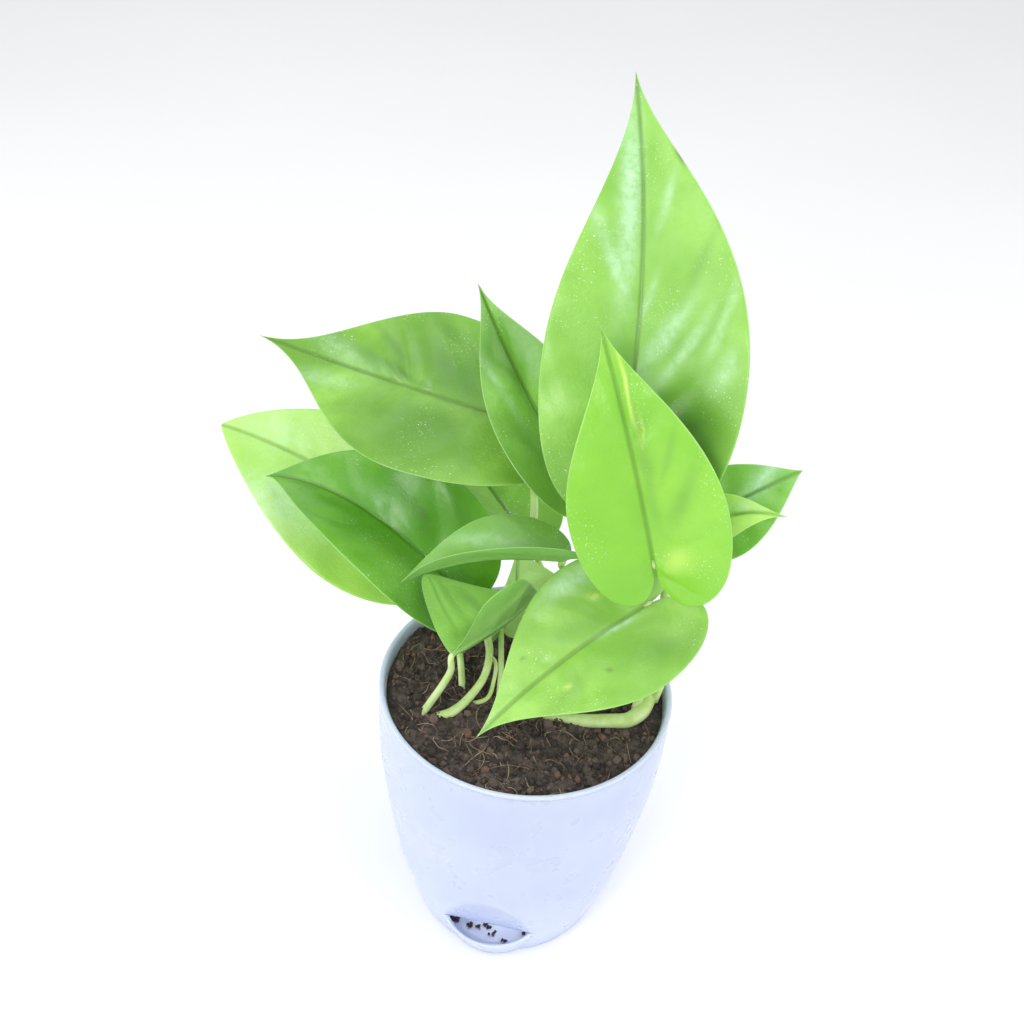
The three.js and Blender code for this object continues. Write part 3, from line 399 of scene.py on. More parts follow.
def turned(profile, sides):
    """A closed turned surface, from (radius, z) pairs that start and end on the axis."""
    radii, levels = np.array(profile[1:-1]).T[..., None]
    angles = np.linspace(0, 2 * math.pi, sides, endpoint=False)[None, :]
    rings = circle(angles, radii, levels).reshape(-1, 3)
    points = np.vstack([rings, [[0, 0, profile[0][1]], [0, 0, profile[-1][1]]]])
    rows = len(profile) - 2
    faces = strips(rows, sides, closed=True)
    faces += fan(rows * sides, list(range(sides)), flip=True)
    faces += fan(rows * sides + 1, list(range((rows - 1) * sides, rows * sides)))
    return points, faces


# Tubes

def smooth_path(points, steps):
    """A centripetal Catmull-Rom curve through the points."""
    points = np.array(points, float)
    padded = np.vstack([2 * points[0] - points[1], points, 2 * points[-1] - points[-2]])
    path = []
    for a, b, c, d in zip(padded, padded[1:], padded[2:], padded[3:]):
        gap_a, gap_b, gap_c = (math.sqrt(np.linalg.norm(q - p)) for p, q in ((a, b), (b, c), (c, d)))
        start = ((b - a) / gap_a - (c - a) / (gap_a + gap_b) + (c - b) / gap_b) * gap_b
        end = ((c - b) / gap_b - (d - b) / (gap_b + gap_c) + (d - c) / gap_c) * gap_b
        t = np.linspace(0, 1, steps, endpoint=False)[:, None]
        path.append((2 * t**3 - 3 * t**2 + 1) * b + (t**3 - 2 * t**2 + t) * start
                    + (3 * t**2 - 2 * t**3) * c + (t**3 - t**2) * end)
    return np.vstack(path + [points[-1:]])


def tube(path, radii, sides=TUBE_SIDES, flutes=0.0):
    """A round tube with domed ends. radii are spread evenly along the path."""
    path = np.asarray(path, float)
    along = unit(np.gradient(path, axis=0))
    share = np.linspace(0, 1, len(path))
    radius = np.interp(share, np.linspace(0, 1, len(radii)), radii)
    side = unit(np.cross(along[0], (0.31, 0.22, 0.92)))
    rings = []
    for centre, way, size in zip(path, along, radius):
        side = unit(side - way * side.dot(way))
        other = np.cross(way, side)
        angles = np.linspace(0, 2 * math.pi, sides, endpoint=False)
        reach = size * (1 + flutes * np.cos(2 * angles))[:, None]
        rings.append(centre + reach * (np.cos(angles)[:, None] * side + np.sin(angles)[:, None] * other))
    points = np.vstack(rings + [path[:1] - along[:1] * radius[0] * 0.5,
                                path[-1:] + along[-1:] * radius[-1] * 0.5])
    count = len(path) * sides
    faces = strips(len(path), sides, closed=True)
    faces += fan(count, list(range(sides)), flip=True)
    faces += fan(count + 1, list(range(count - sides, count)))
    return points, faces


# Blades

def bezier(points, count, closed):
    t = np.linspace(0, 1, count, endpoint=closed)[:, None]
    a, b, c, d = (np.array(p, float) for p in points)
    return (1 - t)**3 * a + 3 * (1 - t)**2 * t * b + 3 * (1 - t) * t**2 * c + t**3 * d


def margin(spec, half):
    """Half outline: x runs along the midrib from sinus to tip, y is the share of the half's width."""
    lobe_rows = round(BLADE_ROWS * 0.38)
    lobe, widest = (np.broadcast_to(spec[key], 2)[half] for key in ("lobe", "widest"))
    lobe_curve = [(0, 0), (-2 * lobe, 0.10), (-lobe, 1), (widest, 1)]
    blade_curve = [(widest, 1), (widest + 0.30, 1), (1 - spec["taper"], spec["tip_width"]), (1, 0)]
    return np.vstack([bezier(lobe_curve, lobe_rows, False),
                      bezier(blade_curve, BLADE_ROWS - lobe_rows + 1, True)])


def blade_frame(spec):
    run = np.subtract(spec["tip"], spec["base"]).astype(float)
    length = np.linalg.norm(run)
    along = run / length
    face = np.array(spec["face"], float)
    normal = unit(face - along * face.dot(along))
    return length, along, normal, np.cross(along, normal)


def rib_at(spec, x):
    """Points of the midrib at shares x of its length, and the ways across and above it."""
    length, along, normal, across = blade_frame(spec)
    bow = np.where(x < 0, 4 * x, 4 * x * (1 - x))[..., None]
    slope = np.where(x < 0, 4, 4 * (1 - 2 * x))[..., None]
    lean = spec["arch"] * normal + spec["sweep"] * across
    centre = np.array(spec["base"]) + x[..., None] * length * along + bow * lean
    tangent = unit(length * along + slope * lean)
    flat = unit(across - dot(tangent, across) * tangent)
    raised = np.cross(flat, tangent)
    turn = np.radians(spec["twist"]) * x[..., None]
    sideways = flat * np.cos(turn) + raised * np.sin(turn)
    upward = raised * np.cos(turn) - flat * np.sin(turn)
    return centre, sideways, upward


def half_blade(spec, side):
    """Points of one half's middle surface, and where each lies on the leaf."""
    half = 0 if side < 0 else 1
    length, width = blade_frame(spec)[0], spec["width"][half]
    edge = margin(spec, half)
    u = np.linspace(0, 1, BLADE_ROWS + 1)[:, None]
    even = np.linspace(0, 1, BLADE_COLUMNS + 1)[None, :]
    v = 0.55 * even + 0.45 * (1 - np.cos(math.pi * even)) / 2
    rib = np.clip((u - RIB_START) / (1 - RIB_START), 0, 1)**RIB_POWER
    x = (1 - v) * rib + v * edge[:, :1] - ROW_LAG * np.sin(math.pi * v) * np.sin(math.pi * rib)
    reach = v * edge[:, 1:] * width
    share = reach / width
    angle = np.radians(spec["fold"][half] + 0.5 * spec["curl"][half] * share)
    height, cycles, phase = spec["wave"]
    ripple = height * share**2 * np.sin(2 * math.pi * cycles * u + phase + side)
    centre, sideways, upward = rib_at(spec, x)
    points = (centre + side * (reach * np.cos(angle))[..., None] * sideways
              + (reach * np.sin(angle) + ripple)[..., None] * upward)
    outline = edge * (length, width)
    here = np.stack([x * length, reach], axis=-1)
    to_margin = np.linalg.norm(here[:, :, None, :] - outline[None, None], axis=-1).min(axis=-1)
    return dict(points=points, x=x, share=side * share, reach=reach, to_margin=to_margin)


def whole_blade(spec):
    """Both halves side by side, left margin to right margin."""
    left, right = half_blade(spec, -1), half_blade(spec, 1)
    return {key: np.concatenate([left[key][:, :0:-1], right[key]], axis=1) for key in left}


def side_veins(grid, length, count):
    """Distance from the nearest side vein, as a share of the veins' spacing, 0 to 0.5."""
    share = np.abs(grid["share"])
    drift = 0.035 * soft_bumps(grid["x"] * length, grid["share"] * 30, count, 34)
    run = grid["x"] - 0.34 * share + 0.10 * share**2 + drift
    turn = np.arctan2(grid["reach"], grid["x"] * length) / math.pi
    lobes = 1 / (1 + np.exp(run / 0.03))
    phase = count * run * (1 - lobes) - 2.0 * turn * lobes
    shift = np.where(grid["share"] < 0, 0.0, 0.37)
    return np.abs((phase + shift + 0.5) % 1 - 0.5)


def relief(grid, name, length):
    """Height of the swelling between veins, in mm along the blade's normals."""
    spec = LEAVES[name]
    share = np.abs(grid["share"])
    puff = np.where(grid["share"] < 0, *spec["puff"])
    fade = np.clip(share / 0.15, 0, 1) * np.clip(grid["to_margin"] / 5, 0, 1)
    veins = side_veins(grid, length, spec["veins"])
    seed = sorted(LEAVES).index(name)
    across = grid["reach"] * np.sign(grid["share"])
    uneven = 0.7 + 0.5 * soft_bumps(grid["x"] * length, across, seed + 40, 45)
    swell = SWELL * puff * uneven * (np.sin(math.pi * veins)**1.4 - 0.45) * fade
    deep = np.exp(-(grid["reach"] / GROOVE_WIDTH)**2) * np.clip(1.15 - grid["x"], 0.2, 1)
    crinkle = CRINKLE * soft_bumps(grid["x"] * length, across, seed, 22)
    return swell - GROOVE_DEPTH * deep + crinkle * fade, veins


def strength(spec, label, grid, length):
    """How strongly one kind of marks covers each point."""
    total = np.zeros(grid["x"].shape)
    for run, share, long, wide, turn, most in spec.get(label, ()):
        along = (grid["x"] - run) * length
        aside = grid["reach"] * np.sign(grid["share"]) - share * spec["width"][0 if share < 0 else 1]
        cos, sin = math.cos(math.radians(turn)), math.sin(math.radians(turn))
        far = ((along * cos + aside * sin) / long)**2 + ((aside * cos - along * sin) / wide)**2
        np.maximum(total, most * np.exp(-2 * far), out=total)
    return total


def welded(points):
    """The first of each group of points that coincide, and every point's group."""
    keys = np.round(points, 3)
    _, first, index = np.unique(keys, axis=0, return_index=True, return_inverse=True)
    return first, index.ravel()


def compact(faces, index):
    """Faces between welded points, without corners that fell together."""
    kept = []
    for face in faces:
        corners = [index[corner] for corner in face]
        corners = [c for i, c in enumerate(corners) if c != corners[i - 1]]
        if len(corners) >= 3:
            kept.append(corners)
    return kept


def point_normals(points, faces):
    normals = np.zeros_like(points)
    quads = np.array([face if len(face) == 4 else face + face[-1:] for face in faces])
    a, b, c, d = (points[quads[:, k]] for k in range(4))
    facing = np.cross(c - a, d - b)
    for k in range(4):
        np.add.at(normals, quads[:, k], facing)
    return unit(normals)


def blade(shape, name):
    """The thin blade, with a rounded midrib below and a thin margin."""
    spec = LEAVES[name]
    length = blade_frame(spec)[0]
    grid = whole_blade(spec)
    rows, columns = grid["x"].shape
    height, veins = relief(grid, name, length)
    points = grid.pop("points").reshape(-1, 3)
    first, index = welded(points)
    faces = compact(strips(rows, columns), index)
    middle = points[first]
    normals = point_normals(middle, faces)
    at = {key: value.ravel()[first] for key, value in grid.items()}
    lift = height.ravel()[first][:, None]
    thick = MARGIN_HALF_THICKNESS + (BLADE_HALF_THICKNESS - MARGIN_HALF_THICKNESS) * np.clip(
        at["to_margin"] / 2.5, 0, 1)
    ridge = RIDGE_HEIGHT * np.exp(-(at["reach"] / RIDGE_WIDTH)**2) * np.clip(1.05 - at["x"], 0, 1)**0.7
    upper = middle + normals * (lift + thick[:, None])
    lower = middle + normals * (lift - thick[:, None] - ridge[:, None])
    count = len(middle)
    below = [[corner + count for corner in face[::-1]] for face in faces]
    rim = margin_strip(faces, count)
    # vein marks the grooves of the side veins, which the material darkens as painted shade.
    values = dict(
        reach=at["reach"], margin=at["to_margin"], vein=np.exp(-(veins.ravel()[first] / 0.10)**2))
    values |= {label: strength(spec, label, grid, length).ravel()[first] for label in MARKS}
    doubled = {key: np.tile(value, 2) for key, value in values.items()}
    shape.add(np.vstack([upper, lower]), faces + below + rim,
              under=np.repeat((0.0, 1.0), count), **doubled)


def margin_strip(faces, count):
    """Faces between the edge of the upper side and that of the lower side."""
    edges = {(face[i - 1], face[i]) for face in faces for i in range(len(face))}
    open_edges = [(a, b) for a, b in edges if (b, a) not in edges]
    return [[b, a, a + count, b + count] for a, b in open_edges]


def petiole(shape, name):
    """The leaf stalk: it comes to the base from below and runs into the midrib."""
    spec = LEAVES[name]
    length, along, normal, _ = blade_frame(spec)
    base = np.array(spec["base"], float)
    joint = base - normal * JOINT_DROP
    rise = spec["arch"] * 4 * JOINT_REACH / length
    root = base + along * JOINT_REACH + normal * (rise - PETIOLE_END)
    path = smooth_path([*spec["petiole"], joint, root], TUBE_STEPS)
    shape.add(*tube(path, [*spec["radii"], PETIOLE_END], flutes=PETIOLE_FLUTES), slot=1)


# Pot

def pot_radius(z):
    """A smooth curve through the listed radii."""
    z = np.asarray(z, float)
    shares, radii = np.array(POT_SHARES), np.array(POT_RADII)
    last = len(shares) - 1
    low = np.maximum(np.arange(last + 1) - 1, 0)
    high = np.minimum(np.arange(last + 1) + 1, last)
    slopes = (radii[high] - radii[low]) / (shares[high] - shares[low])
    place = np.clip(z / POT_HEIGHT, 0, 1)
    k = np.clip(np.searchsorted(shares, place, side="left") - 1, 0, last - 1)
    span = shares[k + 1] - shares[k]
    t = (place - shares[k]) / span
    return (radii[k] * (2 * t**3 - 3 * t**2 + 1) + slopes[k] * span * (t**3 - 2 * t**2 + t)
            + radii[k + 1] * (3 * t**2 - 2 * t**3) + slopes[k + 1] * span * (t**3 - t**2))


SPOUT_RADIUS = float(pot_radius(SPOUT_Z))
SPOUT_CHORD_Y = math.sqrt(SPOUT_RADIUS**2 - SPOUT_HALF_WIDTH**2)
SPOUT_ANGLE = math.asin(SPOUT_HALF_WIDTH / SPOUT_RADIUS)


def spout_angles():
    """Directions round the pot, from -Y towards +X, closer together at the spout."""
    spout = np.linspace(-SPOUT_ANGLE, SPOUT_ANGLE, 65)
    flank = np.linspace(SPOUT_ANGLE, SPOUT_FLANK, 19)[1:]
    back = np.linspace(SPOUT_FLANK, 2 * math.pi - SPOUT_FLANK, 129)[1:]
    return np.concatenate([spout, flank, back, (2 * math.pi - flank)[::-1][1:]])


def lip_radius(angle):
    """Distance from the axis to the round lip, at the height of the mouth."""
    radius = (SPOUT_BULGE**2 + SPOUT_HALF_WIDTH**2) / (2 * SPOUT_BULGE)
    centre = SPOUT_CHORD_Y + SPOUT_BULGE - radius
    return centre * np.cos(angle) + np.sqrt(np.maximum(radius**2 - (centre * np.sin(angle))**2, 0))


def scoop_radius(angle, z):
    share = np.clip(z / SPOUT_Z, 0, 1)
    reach = SPOUT_ANGLE * (SCOOP_BASE_WIDTH + (1 - SCOOP_BASE_WIDTH) * share)
    spread = np.clip(np.abs(angle) / reach, 0, 1) * SPOUT_ANGLE
    swell = SCOOP_BASE_SHARE + (1 - SCOOP_BASE_SHARE) * share**SCOOP_POWER
    bulge = (lip_radius(spread) - SPOUT_RADIUS) * swell
    return pot_radius(z) + np.where(np.abs(angle) < reach, bulge, 0)


def facet_radius(angle, z):
    slope = (FACET_TOP_Y - SPOUT_CHORD_Y) / (FACET_TOP_Z - SPOUT_Z)
    plane = SPOUT_CHORD_Y + slope * (z - SPOUT_Z)
    wall = pot_radius(z)
    cut = np.where(np.cos(angle) > 0.3, plane / np.maximum(np.cos(angle), 0.3), wall + 40)
    blend = FACET_BLEND * np.clip((z - SPOUT_Z) / 3, 0.02, 1)
    return wall - blend * np.logaddexp(0, (wall - cut) / blend)


def ring(angle, radius, z):
    level = np.broadcast_to(z, angle.shape)
    return np.stack([radius * np.sin(angle), -radius * np.cos(angle), level], -1)


def foot_rows(angle, wrapped):
    """The recessed base and the round edge of the foot."""
    radius = scoop_radius(wrapped, BASE_ROUND)
    rows = [ring(angle, (radius - BASE_ROUND) * share, BASE_RECESS) for share in BASE_SHARES]
    rows.append(ring(angle, (radius - BASE_ROUND) * FOOT_SHARE, 0))
    for tilt in np.radians(FOOT_TILTS):
        z = BASE_ROUND * (1 - math.sin(tilt))
        rows.append(ring(angle, radius - BASE_ROUND * (1 - math.cos(tilt)), z))
    return rows


def reservoir_rows(angle, wrapped, lip, easing):
    """Outside and inside of the pot up to the height of the mouth, and its floor."""
    top = SPOUT_Z - EDGE_ROUND
    outside = [ring(angle, scoop_radius(wrapped, z), z) for z in np.linspace(BASE_ROUND, top, 22)]
    inside = [ring(angle, scoop_radius(wrapped, z) - POT_WALL, z) for z in np.linspace(top, POT_FLOOR, 10)]
    floor = [ring(angle, (scoop_radius(wrapped, POT_FLOOR) - POT_WALL) * share, POT_FLOOR)
             for share in FLOOR_SHARES]
    lip_outside = ring(angle, lip - EDGE_ROUND * easing, SPOUT_Z)
    lip_inside = ring(angle, lip - POT_WALL + EDGE_ROUND * easing, SPOUT_Z)
    return foot_rows(angle, wrapped) + outside + [lip_outside], [lip_inside] + inside + floor


def wall_rows(angle, wrapped, easing):
    """The wall above the mouth: up its outside, over the rim and down its inside."""
    edge = facet_radius(wrapped, SPOUT_Z)
    rise = np.concatenate([SPOUT_Z + np.array((0.3, 1.2)), np.linspace(SPOUT_Z + 2.5, 52, 30),
                           np.linspace(56, POT_TOP_Z - 0.3, 16)])
    fall = np.concatenate([[POT_TOP_Z], np.linspace(POT_TOP_Z - 4, 52, 8),
                           np.linspace(48, SPOUT_Z + 0.3, 10)])
    return [ring(angle, edge - MOUTH_ROUND * easing, SPOUT_Z),
            *(ring(angle, facet_radius(wrapped, z), z) for z in rise),
            ring(angle, facet_radius(wrapped, POT_TOP_Z) - 0.3, POT_TOP_Z),
            *(ring(angle, facet_radius(wrapped, z) - POT_WALL, z) for z in fall),
            ring(angle, edge - POT_WALL + MOUTH_ROUND * easing, SPOUT_Z)]


def outer_pot():
    angle = spout_angles()
    wrapped = (angle + math.pi) % (2 * math.pi) - math.pi
    in_mouth = np.abs(wrapped) < SPOUT_ANGLE - 1e-6
    easing = np.clip((SPOUT_ANGLE - np.abs(wrapped)) / MOUTH_EASING, 0, 1)
    lip = np.where(in_mouth, scoop_radius(wrapped, SPOUT_Z), facet_radius(wrapped, SPOUT_Z))
    outside, inside = reservoir_rows(angle, wrapped, lip, easing)
    wall = wall_rows(angle, wrapped, easing)
    columns = len(angle)
    inside_row, wall_row = len(outside), len(outside) + len(inside)
    last_row = wall_row + len(wall) - 1
    faces = []
    for row, block in ((0, outside), (inside_row, inside), (wall_row, wall)):
        faces += strips(len(block), columns, row * columns, closed=True)
    for c in range(columns):
        d = (c + 1) % columns
        if in_mouth[c] or in_mouth[d]:
            for low, high in ((inside_row - 1, inside_row), (last_row, wall_row)):
                a, b = low * columns, high * columns
                faces.append([a + c, a + d, b + d, b + c])
    points = np.vstack(outside + inside + wall + [[[0, 0, POT_FLOOR], [0, 0, BASE_RECESS]]])
    centre = len(points) - 2
    faces += fan(centre, list(range((wall_row - 1) * columns, wall_row * columns)))
    faces += fan(centre + 1, list(range(columns)), flip=True)
    first, index = welded(points)
    shape = Shape()
    shape.add(points[first], compact(faces, index))
    shape.piece("pot_shell", [plastic], "pot", ["outer_pot"])


def liner_radius(z):
    z = np.asarray(z, float)
    free = pot_radius(z) - POT_WALL - LINER_GAP
    share = np.clip((z - LINER_FLOOR_Z) / (FLANGE_Z - LINER_FLOOR_Z), 0, 1)
    top = pot_radius(FLANGE_Z) - POT_WALL - LINER_GAP
    drawn_in = LINER_FLOOR_RADIUS + (top - LINER_FLOOR_RADIUS) * np.sin(share * math.pi / 2)**0.85
    return np.minimum(free, drawn_in)


def inner_radius(z):
    """Inside of the liner: it widens a little into the flange."""
    flare = np.clip((z - FLARE_Z) / (POT_HEIGHT - FLARE_Z), 0, 1)**2
    return liner_radius(z) - LINER_WALL + flare * (LINER_WALL + 0.02)


def liner():
    outer = POT_RADII[-1]
    inner = outer - FLANGE_WIDTH
    levels = np.linspace(LINER_FLOOR_Z + 0.8, FLANGE_Z - 0.4, 26)
    profile = [(0, LINER_FLOOR_Z), (liner_radius(LINER_FLOOR_Z) - 0.8, LINER_FLOOR_Z)]
    profile += [(liner_radius(z), z) for z in levels]
    profile += [(outer - 1.0, FLANGE_Z), (outer - 0.25, FLANGE_Z), (outer, FLANGE_Z + 0.2)]
    profile += [(outer, POT_HEIGHT - 0.5), (outer - 0.15, POT_HEIGHT - 0.15), (outer - 0.5, POT_HEIGHT)]
    profile += [(inner + 0.5, POT_HEIGHT), (inner + 0.15, POT_HEIGHT - 0.12)]
    profile += [(inner_radius(z), z) for z in np.linspace(POT_HEIGHT - 0.5, LINER_INSIDE_Z, 30)]
    profile += [(0, LINER_INSIDE_Z)]
    shape = Shape()
    shape.add(*turned(profile, LINER_SIDES))
    shape.piece("pot_liner", [plastic], "pot", ["inner_pot"])


# Soil

SOIL_EDGE = float(inner_radius(SOIL_TOP_Z))


def soil_height(x, y):
    lump = np.sin(x * 0.21 + 1.3) * np.cos(y * 0.26) + 0.6 * np.sin(x * 0.47 - y * 0.39)
    return SOIL_TOP_Z - 0.015 * x + 0.54 * lump


def crumbly_height(x, y):
    rough = 0.55 * soft_bumps(x, y, 11, 7.5) + 0.38 * soft_bumps(x, y, 12, 3.6, 14)
    return soil_height(x, y) + rough + 0.22 * soft_bumps(x, y, 13, 1.7, 18)


def soil_plug():
    radii = (SOIL_EDGE - SOIL_GAP) * np.linspace(0, 1, SOIL_RINGS + 1)[1:, None]
    angles = np.linspace(0, 2 * math.pi, SOIL_SIDES, endpoint=False)[None, :]
    x, y = radii * np.cos(angles), radii * np.sin(angles)
    top = np.stack([x, y, crumbly_height(x, y)], -1)[::-1]
    walls = [circle(angles[0], inner_radius(z) - SOIL_GAP, z) for z in SOIL_LEVELS]
    rows = walls + list(top)
    points = np.vstack(rows + [[[0, 0, float(crumbly_height(0.0, 0.0))], [0, 0, SOIL_BOTTOM_Z]]])
    count = len(rows) * SOIL_SIDES
    faces = strips(len(rows), SOIL_SIDES, closed=True)
    faces += fan(count, list(range(count - SOIL_SIDES, count)))
    faces += fan(count + 1, list(range(SOIL_SIDES)), flip=True)
    shape = Shape()
    shape.add(points, faces)
    shape.piece("soil_plug", [soil_material], "soil", ["soil"])


def crumb_form():
    """A twenty-sided lump."""
    g = (1 + math.sqrt(5)) / 2
    points = unit([(-1, g, 0), (1, g, 0), (-1, -g, 0), (1, -g, 0), (0, -1, g), (0, 1, g),
                   (0, -1, -g), (0, 1, -g), (g, 0, -1), (g, 0, 1), (-g, 0, -1), (-g, 0, 1)])
    faces = [(0, 11, 5), (0, 5, 1), (0, 1, 7), (0, 7, 10), (0, 10, 11), (1, 5, 9), (5, 11, 4),
             (11, 10, 2), (10, 7, 6), (7, 1, 8), (3, 9, 4), (3, 4, 2), (3, 2, 6), (3, 6, 8),
             (3, 8, 9), (4, 9, 5), (2, 4, 11), (6, 2, 10), (8, 6, 7), (9, 8, 1)]
    return points, [list(face) for face in faces]


def finer(points, faces):
    """Each triangle split in four, with the new points on the unit sphere."""
    points = list(points)
    middles = {}

    def middle(a, b):
        key = (min(a, b), max(a, b))
        if key not in middles:
            middles[key] = len(points)
            points.append(unit(points[a] + points[b]))
        return middles[key]

    split = []
    for a, b, c in faces:
        ab, bc, ca = middle(a, b), middle(b, c), middle(c, a)
        split += [[a, ab, ca], [b, bc, ab], [c, ca, bc], [ab, bc, ca]]
    return np.array(points), split


def add_crumb(shape, form, place, size, rng, tone):
    points, faces = form
    squash = rng.uniform(0.55, 1.25, 3)
    lumpy = points * (1 + rng.normal(0, 0.14, (len(points), 1))) * squash * size
    turn = np.array(Matrix.Rotation(rng.uniform(0, 6.28), 3, Vector(unit(rng.normal(0, 1, 3)))))
    shape.add(lumpy @ turn.T + place, faces, tone=tone)


def scattered(rng, count, reach):
    radius = reach * np.sqrt(rng.uniform(0, 1, count))
    angle = rng.uniform(0, 2 * math.pi, count)
    return zip(radius * np.cos(angle), radius * np.sin(angle))


def soil_crumbs():
    rng = np.random.default_rng(5)
    plain = crumb_form()
    shape = Shape()
    for form, (count, low, high) in ((plain, FINE_CRUMBS), (finer(*plain), COARSE_CRUMBS)):
        for x, y in scattered(rng, count, SOIL_EDGE - CRUMB_MARGIN):
            size = low + (high - low) * rng.power(0.6)
            z = float(crumbly_height(x, y)) + size * rng.uniform(0, 0.6)
            add_crumb(shape, form, (x, y, z), size, rng, rng.uniform(0, 1))
    shape.piece("soil_crumbs", [crumb_material], "soil", smooth=False)


def spilt_crumbs():
    """Soil that fell through the liner to the reservoir's floor, seen in the spout."""
    rng = np.random.default_rng(21)
    form = finer(*crumb_form())
    shape = Shape()
    for x, y, reach, count in SPILT:
        for _ in range(count):
            aside, back = rng.normal(0, reach, 2)
            size = rng.uniform(0.35, 0.8)
            place = (x + aside, max(y + back, SPILT_LIMIT_Y), POT_FLOOR + 0.6 * size)
            add_crumb(shape, form, place, size, rng, rng.uniform(0, 0.6))
    shape.piece("spilt_crumbs", [crumb_material], "soil", smooth=False)


def soil_fibres():
    rng = np.random.default_rng(8)
    shape = Shape()
    edge = SOIL_EDGE - FIBRE_MARGIN
    for x, y in scattered(rng, FIBRES, edge):
        length = rng.uniform(4, 20)
        heading, bend = rng.uniform(0, 6.28), rng.normal(0, 0.35)
        path = [np.array((x, y))]
        for _ in range(5):
            heading += bend + rng.normal(0, 0.25)
            path.append(path[-1] + length / 5 * np.array((math.cos(heading), math.sin(heading))))
        path = [p * min(1, edge / np.hypot(*p)) for p in path]
        lift = rng.uniform(0.1, 1.4)
        points = [(px, py, float(crumbly_height(px, py)) + lift * math.sin(math.pi * k / 5))
                  for k, (px, py) in enumerate(path)]
        thin = rng.uniform(0.07, 0.17)
        fibre = tube(smooth_path(points, 4), [thin, thin, thin * 0.5], 5)
        shape.add(*fibre, tone=rng.uniform(0, 1))
    shape.piece("soil_fibres", [fibre_material], "soil")


# Stems

def stems():
    for name, runs in STEMS.items():
        shape = Shape()
        for run in runs:
            path = smooth_path(run["points"], TUBE_STEPS)
            shape.add(*tube(path, run["radii"], STEM_SIDES, STEM_FLUTES))
        shape.piece(f"{name}_grown", [stem_material], "stem", [name])


# Materials

class Nodes:
    """Short calls for a material's nodes. A socket stands for its node's output."""

    def __init__(self, name):
        self.material = bpy.data.materials.new(name)
        self.material.use_nodes = True
        self.tree = self.material.node_tree
        self.finish = self.tree.nodes["Principled BSDF"]

    def node(self, kind, inputs=(), **settings):
        made = self.tree.nodes.new(kind)
        for key, value in settings.items():
            setattr(made, key, value)
        for key, value in dict(inputs).items():
            self.feed(made.inputs[key], value)
        return made

    def feed(self, socket, value):
        if isinstance(value, bpy.types.NodeSocket):
            self.tree.links.new(value, socket)
        else:
            socket.default_value = value

    def set(self, **values):
        for key, value in values.items():
            self.feed(self.finish.inputs[key.replace("_", " ")], value)

    def value(self, name):
        return self.node("ShaderNodeAttribute", attribute_name=name).outputs["Fac"]

    def place(self):
        return self.node("ShaderNodeTexCoord").outputs["Object"]

    def noise(self, scale, detail=3, rough=0.5):
        made = self.node("ShaderNodeTexNoise", dict(
            Vector=self.place(), Scale=scale, Detail=detail, Roughness=rough))
        return made.outputs["Fac"]

    def ramp(self, value, low, high, start=0.0, end=1.0):
        return self.node("ShaderNodeMapRange", {
            "Value": value, "From Min": low, "From Max": high, "To Min": start, "To Max": end},
            interpolation_type="SMOOTHSTEP").outputs["Result"]

    def math(self, operation, *values):
        made = self.node("ShaderNodeMath", operation=operation)
        for socket, value in zip(made.inputs, values):
            self.feed(socket, value)
        return made.outputs[0]

    def mix(self, amount, first, second):
        made = self.node("ShaderNodeMix", data_type="RGBA")
        self.feed(made.inputs[0], amount)
        for socket, colour in ((6, first), (7, second)):
            self.feed(made.inputs[socket], (*colour, 1) if isinstance(colour, tuple) else colour)
        return made.outputs[2]

    def layer(self, colour, cover, share, paint):
        """Paint over a colour, where cover is 1 and by no more than the share."""
        return self.mix(self.math("MULTIPLY", cover, share), colour, paint)

    def done(self, colour, rough, height, distance, strength):
        """The material, with its colour, its roughness and bumps of distance metres."""
        bumps = self.node("ShaderNodeBump", dict(Height=height, Distance=distance, Strength=strength))
        self.set(Base_Color=colour, Roughness=rough, Normal=bumps.outputs["Normal"])
        return self.material


def plastic_surface():
    m = Nodes("white_plastic")
    tone = m.ramp(m.noise(28, 2), 0.35, 0.65)
    colour = m.mix(tone, (0.51, 0.57, 0.79), (0.54, 0.60, 0.81))
    rough = m.ramp(m.noise(90, 3), 0.3, 0.7, 0.26, 0.36)
    m.set(Subsurface_Weight=0.85, Subsurface_Radius=(1.0, 1.0, 1.0), Subsurface_Scale=0.004)
    return m.done(colour, rough, m.noise(900, 2), 0.00003, 0.2)


